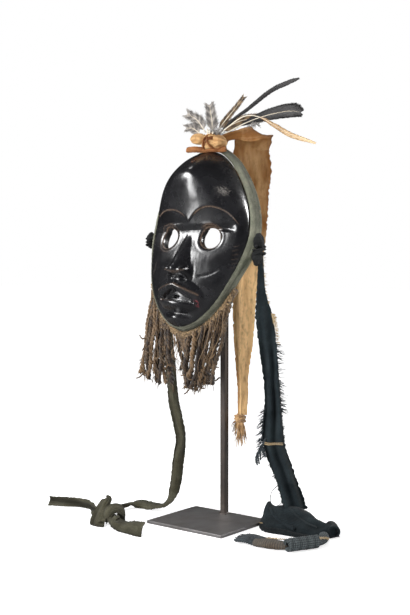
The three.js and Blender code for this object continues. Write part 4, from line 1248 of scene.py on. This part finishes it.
def build_olive(m):
    shape = Shape()
    run = shape.strip(OLIVE, 22, 260, wave=folded_wave(1.9, 0.4, 2.0), ragged=0.16, seed=8.0)
    hung = shape.place(
        "olive_strip_cloth", "Olive cloth", "olive_cloth", ["olive_strip"], m.cloth_thickness, 0.9
    )
    knot_folds = (
        # the tall fold, up from the strip, over its tip and down to its left foot
        ((-124, -57, 5, 6, -60, 40), (-117, -66, 13, 8, -50, 40), (-106, -76, 24, 8, -10, 30),
         (-98, -82, 31, 5.5, 25, 20), (-96, -86.5, 30, 6.5, 22, 18),
         (-99, -89.5, 22, 9, 12, 15), (-101, -93, 12, 11.5, 8, 18), (-100.5, -97, 3.5, 12.5, 8, 25),
         (-94, -92, 2.2, 10, 8, 80)),
        # the rolled collar right of it
        ((-97, -88, 8, 8, 10, 30), (-90, -92, 15, 7.5, 20, 25), (-84, -90, 22, 6.5, 40, 30),
         (-79, -83, 23, 6, 60, 40), (-77, -76, 17, 6, 90, 45), (-82, -70, 9, 6, 120, 30),
         (-92, -68, 5, 6, 150, 30)),
        # and what passes under both
        ((-88, -74, 6, 6, 60, 30), (-84, -84, 9, 7, 45, 25), (-80, -91, 11, 7.5, 30, 25),
         (-72, -95, 9, 8, 20, 25)),
    )
    shape = Shape()
    total = 0.0
    for k, rows in enumerate(knot_folds):
        total += shape.strip(
            rows, 22, 90, wave=folded_wave(1.3, 1.0 + 2 * k, 5.0 + k), ragged=0.08, seed=12.0 + k
        )
    knot = shape.place(
        "olive_floor_knot", "Olive cloth", "olive_cloth", ["olive_knot"], m.cloth_thickness, 0.9
    )
    # The left end's negative depth sinks the middle of its cross-section, and the strip's painted shade
    # darkens it there
    ends = (
        ("left", "olive_end_left", -3.4,
         ((-122, -72, 6, 6, 10, 20), (-134, -66, 7.5, 5.8, 0, 10), (-148, -55, 8.0, 6, -5, 15),
          (-160, -47, 6.2, 4.4, -10, 30), (-170, -43, 7.0, 5.8, 5, 12),
          (-188, -43, 6.4, 6.2, 12, 8), (-208, -50, 6.2, 6.2, 18, 8), (-229, -60, 6.2, 6.0, 18, 8))),
        ("right", "olive_end_right", 2.2,
         ((-76, -94, 9, 7.5, 22, 25), (-66, -97, 7.5, 8.0, 18, 40), (-54, -99, 6.5, 9.0, 12, 50),
          (-42, -100, 7.0, 10, 16, 42), (-30, -101, 7.0, 10.5, 22, 40), (-21, -101, 7.5, 10.0, 25, 38))),
    )
    for name, node, depth, rows in ends:
        shape = Shape()
        run = shape.strip(rows, 22, 110, wave=folded_wave(depth, 2.2, 11.0), ragged=0.16, seed=14.0)
        laid = shape.place(
            f"olive_end_{name}_cloth", "Olive cloth", "olive_cloth", [node], m.cloth_thickness, 0.9
        )


def vane_width(t, widest, fluff):
    """Share of a feather's half-width at t from its base: a downy one only narrows towards the tip"""
    if fluff:
        return 1 - 0.45 * t
    if t < 1 - widest:
        return math.sin(math.pi * 0.5 * t / (1 - widest))
    return max(0.0, math.sin(math.pi * (0.5 + 0.5 * (t - 1 + widest) / widest)))


# Feathers: a quill with flat barbs both ways
BARB_TAPER = np.array([1, 1, 0.95, 0.7, 0.15])


def feather(
    name, material, slot, node, path, half, widest, barbs, seed, fluff=0.0, lean=1.5, bare=0.12, pale="Quill"
):
    rng = random.Random(seed)
    fine = spline(np.array(path, float) + crest_anchor(), 100)
    side, up = sides_of(fine, facing(SHOWN_SIDE, 0))
    along = unit(np.gradient(fine, axis=0))
    shape = Shape()
    shape.tube(fine, np.linspace(0.75, 0.2, 100), 6, shade=np.linspace(0.9, 0.2, 100))
    shape.place(f"{name}_quill", pale, slot, [node])
    shape = Shape()
    gaps = [(rng.uniform(0.3, 0.9), rng.choice((-1, 1))) for _ in range(3)]
    for k in range(barbs):
        for sign in (-1, 1):
            t = (k + rng.random()) / barbs
            f = (bare + (1 - bare) * t) * 99
            i = min(int(f), 98)
            reach = half * (0.3 + 0.7 * vane_width(t, widest, fluff)) * rng.uniform(0.88, 1.08)
            reach = reach / math.sqrt(1 + 0.25 * lean * lean)
            split = sum(bell(t - g, 0.012) for g, s in gaps if s == sign)
            start = fine[i] * (1 - f % 1) + fine[i + 1] * (f % 1)
            curl = np.array([rng.uniform(-1, 1) for _ in range(3)]) * (fluff * reach * 0.35 + 0.25)
            tip = start + side[i] * sign * reach + along[i] * reach * lean * (1 + 0.25 * split)
            tip = tip + up[i] * reach * 0.1 * sign + curl
            mid = start + (tip - start) * 0.5 - along[i] * reach * 0.12 - curl * 0.4
            thick = 0.62 if not fluff else 0.36
            tone = t + 0.05 * rng.uniform(-1, 1)
            shape.tube(spline([start, mid, tip], 5), BARB_TAPER * thick, 4, ref=up[i], shade=tone, flat=0.3)
    shape.place(f"{name}_barbs", material, slot, [node])


FEATHERS = (
    ("long_black", "Dark feather", "dark_feather", "feather_long_black",
     ((10, 11, 12), (23, 19, 27), (39, 25, 38), (65, 37, 59), (85, 43, 68), (101, 47, 73)), 4.6, 0.35, 210,
     0.0, 2.4, 0.1, "Dark feather"),
    ("broad_black", "Dark feather", "dark_feather", "feather_broad_black",
     ((13, 15, 10), (35, 27, 22), (55, 34, 29), (77, 39, 33), (93, 42, 34), (105, 45, 32)), 11.5, 0.45, 430,
     0.0, 1.7, 0.16, "Quill"),
    ("tan", "Tan feather", "tan_feather", "feather_tan",
     ((15, 4, 10), (42, 13, 28), (63, 17, 27), (81, 21, 17), (105, 25, 3), (134, 33, -8)), 4.8, 0.45, 200,
     0.0, 2.2, 0.42, "Quill"),
    ("speckled", "Brown feather", "brown_feather", "feather_speckled",
     ((5, 16, 13), (20, 31, 25), (33, 40, 29), (47, 46, 30)), 8.5, 0.6, 260, 0.25, 1.2, 0.05, "Quill"),
    ("brown", "Brown feather", "brown_feather", "feather_brown",
     ((1, 13, 12), (13, 19, 29), (22, 25, 42), (30, 31, 55)), 5, 0.6, 140, 0.2, 1.5, 0.1, "Quill"),
    ("grey_upright", "Grey feather", "grey_feather", "plume_grey_upright",
     ((0, 5, 11), (0, 6, 22), (-3, 7, 35), (-6, 8, 46)), 8, 0.55, 230, 0.9, 1.0, 0.12, "Quill"),
    ("grey_left", "Grey feather", "grey_feather", "plume_grey_left",
     ((-5, -1, 11), (-12, -3, 22), (-19, -4, 29), (-29, -7, 35)), 8, 0.6, 230, 0.9, 1.0, 0.12, "Quill"),
    ("grey_low", "Grey feather", "grey_feather", "plume_grey_low",
     ((-9, -5, 8), (-15, -8, 14), (-20, -11, 17), (-26, -13, 17)), 6, 0.6, 170, 0.9, 1.0, 0.12, "Quill"),
)


def build_feathers():
    for k, (
        name, material, slot, node, path, half, widest, barbs, fluff, lean, bare, pale
    ) in enumerate(FEATHERS):
        feather(name, material, slot, node, path, half, widest, barbs, 20 + k, fluff, lean, bare, pale)
    down = Shape()
    rng = random.Random(9)
    for _ in range(150):
        start = crest_anchor() + (rng.uniform(-1, 15), rng.uniform(-2, 8), rng.uniform(4, 9))
        away = np.array(
            [rng.uniform(-0.7, 0.9), rng.uniform(-0.6, 0.8), rng.uniform(0.5, 1.2)]
        ) * rng.uniform(5, 13)
        bend = (rng.uniform(-1, 1), 0, 0)
        down.wisp(start, away, bend, 6, (0.3, 0.3, 0.28, 0.25, 0.2, 0.1), 3, rng.uniform(0.0, 0.9))
    for _ in range(90):
        start = crest_anchor() + (rng.uniform(36, 52), rng.uniform(28, 38), rng.uniform(19, 24))
        away = np.array(
            [rng.uniform(-0.6, 1), rng.uniform(-0.6, 0.6), rng.uniform(-0.9, 0.5)]
        ) * rng.uniform(3, 8)
        bend = (0, 0, rng.uniform(-1, 1))
        down.wisp(start, away, bend, 6, (0.35, 0.35, 0.3, 0.25, 0.2, 0.1), 3, rng.uniform(0.0, 1.0))
    down.place("crest_down", "Grey feather", "grey_feather", ["plume_grey_upright"])
    stubs = Shape()
    for base, tip in (
        ((-1, -2, 3), (1, -5, 15)), ((2, -3, 3), (5, -6, 13)), ((-4, -3, 2), (-5, -6, 9)),
        ((5, -2, 3), (9, -4, 11)),
    ):
        middle = (np.array(base) + tip) / 2
        path = spline([crest_anchor() + place for place in (base, middle, tip)], 10)
        stubs.tube(path, np.linspace(1.1, 0.7, 10), 8, shade=0.9)
    stubs.place("quill_stubs", "Quill", "tan_feather", ["feather_tan"])


# The stand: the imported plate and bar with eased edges, and the weld between them
def build_stand(m):
    for node in ("base_plate", "stand_rod"):
        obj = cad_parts[node]
        # The plate takes the paler steel, whose colour is a painted reflection of the bright room
        for s in obj.material_slots:
            s.material = bpy.data.materials["Pale steel with painted reflection" if node == "base_plate" else "Blackened steel"]
        joined = obj.modifiers.new("Joined faces", "WELD")
        joined.merge_threshold = 1e-5
        eased = obj.modifiers.new("Eased edges", "BEVEL")
        eased.width = m.edge
        eased.segments = 2
        eased.limit_method = "ANGLE"
    shape = Shape()
    corners = ((-8.6, 35.4), (0.6, 35.4), (0.6, 44.6), (-8.6, 44.6), (-8.6, 35.4))
    for (x1, y1), (x2, y2) in zip(corners, corners[1:]):
        t = np.linspace(0, 1, 16)
        line = np.stack([x1 + (x2 - x1) * t, y1 + (y2 - y1) * t, 4.4 + 0 * t], 1)
        shape.tube(line, 0.9 + 0.2 * np.sin(t * 40), 8, ref=(0, 0, 1))
    shape.place("weld_bead", "Blackened steel", "blackened_steel")


# The stage: camera values from the photograph, in metres and degrees
CAMERA_PLACE = (0.8281, -1.0510, 0.3422)
CAMERA_DOWN = 2.84
CAMERA_TURN = 38.39
CAMERA_LENS = 61.93
AIM = (0.0, -0.02, 0.33)

# Azimuth, elevation, distance, width, height and power of each lamp, and whether it only shows mirrored
LAMPS = (
    ("key softbox", -20, 14, 1.5, 0.5, 0.9, 26.0, False),
    ("front left lamp", -28, 15, 1.3, 0.36, 1.1, 25.0, True),
    ("front left upper lamp", -44, 31, 1.3, 0.46, 0.42, 19.0, True),
    ("right strip light", 124, 24, 1.3, 0.42, 0.7, 60.0, True),
    ("overhead softbox", -60, 72, 1.5, 1.3, 1.3, 9.0, False),
    ("overhead lamp", -95, 62, 1.5, 0.2, 0.2, 1.2, True),
    ("low right fill", 64, 0, 1.8, 0.9, 0.9, 17.0, False),
)


def build_camera(scene):
    camera = bpy.data.cameras.new("camera")
    camera.lens = CAMERA_LENS
    camera.sensor_width = 36
    holder = new_object("camera", camera)
    holder.location = CAMERA_PLACE
    holder.rotation_euler = (math.radians(90 - CAMERA_DOWN), 0, math.radians(CAMERA_TURN))
    scene.camera = holder


def build_floor(m):
    bm = bmesh.new()
    bmesh.ops.create_grid(bm, x_segments=1, y_segments=1, size=8)
    mesh = bpy.data.meshes.new("floor")
    bm.to_mesh(mesh)
    bm.free()
    floor = new_object("floor", mesh)
    tree, shader = new_material("Pale floor", roughness=0.9, specular_ior_level=0.1)
    shader.inputs["Emission Color"].default_value = (1, 1, 1, 1)
    seen = put(tree, "ShaderNodeLightPath").outputs["Is Camera Ray"]
    place = object_place(tree)
    away = put(tree, "ShaderNodeVectorMath", {0: place}, operation="LENGTH")
    glow = remap(tree, away.outputs["Value"], 0.3, 1.6, m.floor_glow, m.floor_glow + 0.25)
    tree.links.new(math_node(tree, "MULTIPLY", seen, glow), shader.inputs["Emission Strength"])
    cloudy = use_group(tree, "Mottle", Blotch_size=3.0, Grain_size=80.0)
    pale = mix(tree, cloudy.outputs["Blotch"], rgb((0.90, 0.90, 0.90)), rgb((0.92, 0.92, 0.92)))
    # Painted reflection: seen in reflections the floor is dark grey instead of its pale colour
    mirrored = put(tree, "ShaderNodeLightPath").outputs["Is Glossy Ray"]
    tree.links.new(mix(tree, mirrored, pale, rgb((0.22, 0.22, 0.22))), shader.inputs["Base Color"])
    mesh.materials.append(bpy.data.materials["Pale floor"])


def build_room(scene, m):
    """White to the camera, dim to the light and dimmer still in reflections"""
    world = bpy.data.worlds.new("studio")
    scene.world = world
    world.use_nodes = True
    tree = world.node_tree
    seen = put(tree, "ShaderNodeLightPath").outputs["Is Camera Ray"]
    tree.nodes["Background"].inputs["Color"].default_value = (1, 1, 1, 1)
    glossy = put(tree, "ShaderNodeLightPath").outputs["Is Glossy Ray"]
    fill = remap(tree, glossy, 0, 1, m.fill, m.surroundings)
    strength = put(tree, "ShaderNodeMix", {0: seen, 2: fill, 3: 1.0}, data_type="FLOAT").outputs[0]
    tree.links.new(strength, tree.nodes["Background"].inputs["Strength"])


def build_stage(m):
    scene = bpy.context.scene
    scene.view_settings.view_transform = "Standard"
    build_camera(scene)
    build_floor(m)
    build_room(scene, m)
    for name, az, el, far, wide, tall, power, mirrored in LAMPS:
        lamp = bpy.data.lights.new(name, "AREA")
        lamp.shape = "RECTANGLE"
        lamp.size, lamp.size_y = wide, tall
        lamp.energy = power
        a, e = math.radians(az), math.radians(el)
        out = Vector((math.sin(a) * math.cos(e), -math.cos(a) * math.cos(e), math.sin(e)))
        holder = new_object(name, lamp)
        holder.location = Vector(AIM) + out * far
        holder.rotation_euler = out.to_track_quat("Z", "Y").to_euler()
        holder.visible_glossy = mirrored
        holder.visible_diffuse = not mirrored


# What a user may set
def colour(name, description, default):
    return FloatVectorProperty(
        name=name, description=description, default=default, size=3, min=0, max=1, subtype="COLOR"
    )


def length(name, description, default):
    return FloatProperty(
        name=name, description=description, default=default, min=0, unit="LENGTH", subtype="DISTANCE"
    )


class MaskSizes(bpy.types.PropertyGroup):
    height: length("Height", "Chin to the top of the forehead", 0.226)
    half_width: length("Half width", "Middle of the face to its widest edge", 0.076)
    patina: colour("Patina", "Black polish on the carving", (0.0055, 0.0055, 0.0065))
    worn_wood: colour("Worn wood", "Wood that shows where the polish is rubbed off", (0.19, 0.125, 0.085))


class StandSizes(bpy.types.PropertyGroup):
    edge: length("Eased edge", "Rounding on the plate's and bar's edges", 0.0006)
    steel: colour("Steel", "Blackened finish", (0.035, 0.032, 0.031))


class TieSizes(bpy.types.PropertyGroup):
    cloth_thickness: length("Cloth thickness", "Thickness of the strips", 0.0012)
    rim: colour("Rim cloth", "Thread of the rim band", (0.16, 0.17, 0.125))
    olive: colour("Olive cloth", "Thread of the left strip", (0.05, 0.043, 0.025))
    indigo: colour("Indigo cloth", "Thread of the right strip", (0.013, 0.020, 0.024))


class CrestSizes(bpy.types.PropertyGroup):
    hide_thickness: length("Hide thickness", "Thickness of the tan strip", 0.0016)
    hide: colour("Hide", "Tan hide of the knot and the strip's top", (0.24, 0.10, 0.028))
    # The pale colour also stands in for painted light on the strip's middle
    pale_hide_and_painted_light: colour("Pale hide", "Rubbed hide lower on the strip", (0.95, 0.63, 0.31))


class BeardSizes(bpy.types.PropertyGroup):
    strands: IntProperty(
        name="Strands", description="Twisted strands in the beard", default=38, min=10, max=200
    )
    fibre: colour("Fibre", "Light side of the fibre", (0.20, 0.125, 0.064))


class StageSizes(bpy.types.PropertyGroup):
    fill: FloatProperty(
        name="Fill light", description="Strength of the light from all round", default=0.22, min=0, max=3
    )
    surroundings: FloatProperty(
        name="Surroundings", description="Brightness of the room in reflections", default=0.03, min=0, max=3
    )
    floor_glow: FloatProperty(
        name="Floor glow", description="Light that the overexposed floor gives of itself", default=0.7, min=0,
        max=2
    )


class DanMaskSettings(bpy.types.PropertyGroup):
    mask: PointerProperty(type=MaskSizes)
    stand: PointerProperty(type=StandSizes)
    ties: PointerProperty(type=TieSizes)
    crest: PointerProperty(type=CrestSizes)
    beard: PointerProperty(type=BeardSizes)
    stage: PointerProperty(type=StageSizes)


def settings():
    return bpy.context.scene.dan_mask


class DANMASK_OT_stage(bpy.types.Operator):
    """Camera, floor and studio lights"""
    bl_idname = "danmask.stage"
    bl_label = "Stage"

    def execute(self, context):
        build_stage(settings().stage)
        return {"FINISHED"}


class DANMASK_OT_finishes(bpy.types.Operator):
    """Shader node groups and every finish of the mask, cloth, hide, fibre, feathers and steel"""
    bl_idname = "danmask.finishes"
    bl_label = "Finishes"

    def execute(self, context):
        make_materials()
        return {"FINISHED"}


class DANMASK_OT_stand(bpy.types.Operator):
    """Finish and eased edges of the plate and bar, and the weld"""
    bl_idname = "danmask.stand"
    bl_label = "Stand"

    def execute(self, context):
        build_stand(settings().stand)
        return {"FINISHED"}


class DANMASK_OT_mask(bpy.types.Operator):
    """Carved face with its eye holes, nose, lips and hollow"""
    bl_idname = "danmask.mask"
    bl_label = "Carved mask"

    def execute(self, context):
        build_mask()
        return {"FINISHED"}


class DANMASK_OT_rim(bpy.types.Operator):
    """Cloth band round the rim and the knots at both ears"""
    bl_idname = "danmask.rim"
    bl_label = "Rim band and ear knots"

    def execute(self, context):
        build_rim_band()
        build_ear_knots()
        return {"FINISHED"}


class DANMASK_OT_beard(bpy.types.Operator):
    """Braid along the chin and its hanging strands"""
    bl_idname = "danmask.beard"
    bl_label = "Beard"

    def execute(self, context):
        build_braid()
        build_beard(settings().beard)
        return {"FINISHED"}


class DANMASK_OT_crest(bpy.types.Operator):
    """Hide roll and knot on top, and the tan strip behind"""
    bl_idname = "danmask.crest"
    bl_label = "Crest and tan strip"

    def execute(self, context):
        build_crest()
        build_back_strip(settings().crest)
        return {"FINISHED"}


class DANMASK_OT_strips(bpy.types.Operator):
    """Indigo strip, heap and woven end, and the olive strip with its knot and ends"""
    bl_idname = "danmask.strips"
    bl_label = "Cloth strips"

    def execute(self, context):
        build_indigo(settings().ties)
        build_olive(settings().ties)
        return {"FINISHED"}


class DANMASK_OT_feathers(bpy.types.Operator):
    """Feathers and downy plumes"""
    bl_idname = "danmask.feathers"
    bl_label = "Feathers"

    def execute(self, context):
        build_feathers()
        return {"FINISHED"}


ORDER = (
    DANMASK_OT_finishes, DANMASK_OT_stage, DANMASK_OT_stand, DANMASK_OT_mask, DANMASK_OT_rim,
    DANMASK_OT_beard, DANMASK_OT_crest, DANMASK_OT_strips, DANMASK_OT_feathers,
)


class DANMASK_PT_panel(bpy.types.Panel):
    """Lists the pieces and their sizes"""
    bl_idname = "DANMASK_PT_panel"
    bl_label = "Dan mask"
    bl_space_type = "VIEW_3D"
    bl_region_type = "UI"
    bl_category = "Dan mask"

    def draw(self, context):
        layout = self.layout
        for group in ("mask", "stand", "ties", "crest", "beard", "stage"):
            part = getattr(context.scene.dan_mask, group)
            box = layout.box()
            for key in part.bl_rna.properties.keys():
                if key not in ("rna_type", "name"):
                    box.prop(part, key)
        for operator in ORDER:
            layout.operator(operator.bl_idname)


CLASSES = (
    MaskSizes, StandSizes, TieSizes, CrestSizes, BeardSizes, StageSizes, DanMaskSettings, *ORDER,
    DANMASK_PT_panel
)


def register():
    for cls in CLASSES:
        bpy.utils.register_class(cls)
    bpy.types.Scene.dan_mask = PointerProperty(type=DanMaskSettings)


def unregister():
    del bpy.types.Scene.dan_mask
    for cls in reversed(CLASSES):
        bpy.utils.unregister_class(cls)


def main():
    register()
    for name in ("finishes", "stage", "stand", "mask", "rim", "beard", "crest", "strips", "feathers"):
        getattr(bpy.ops.danmask, name)()


if __name__ == "__main__":
    main()
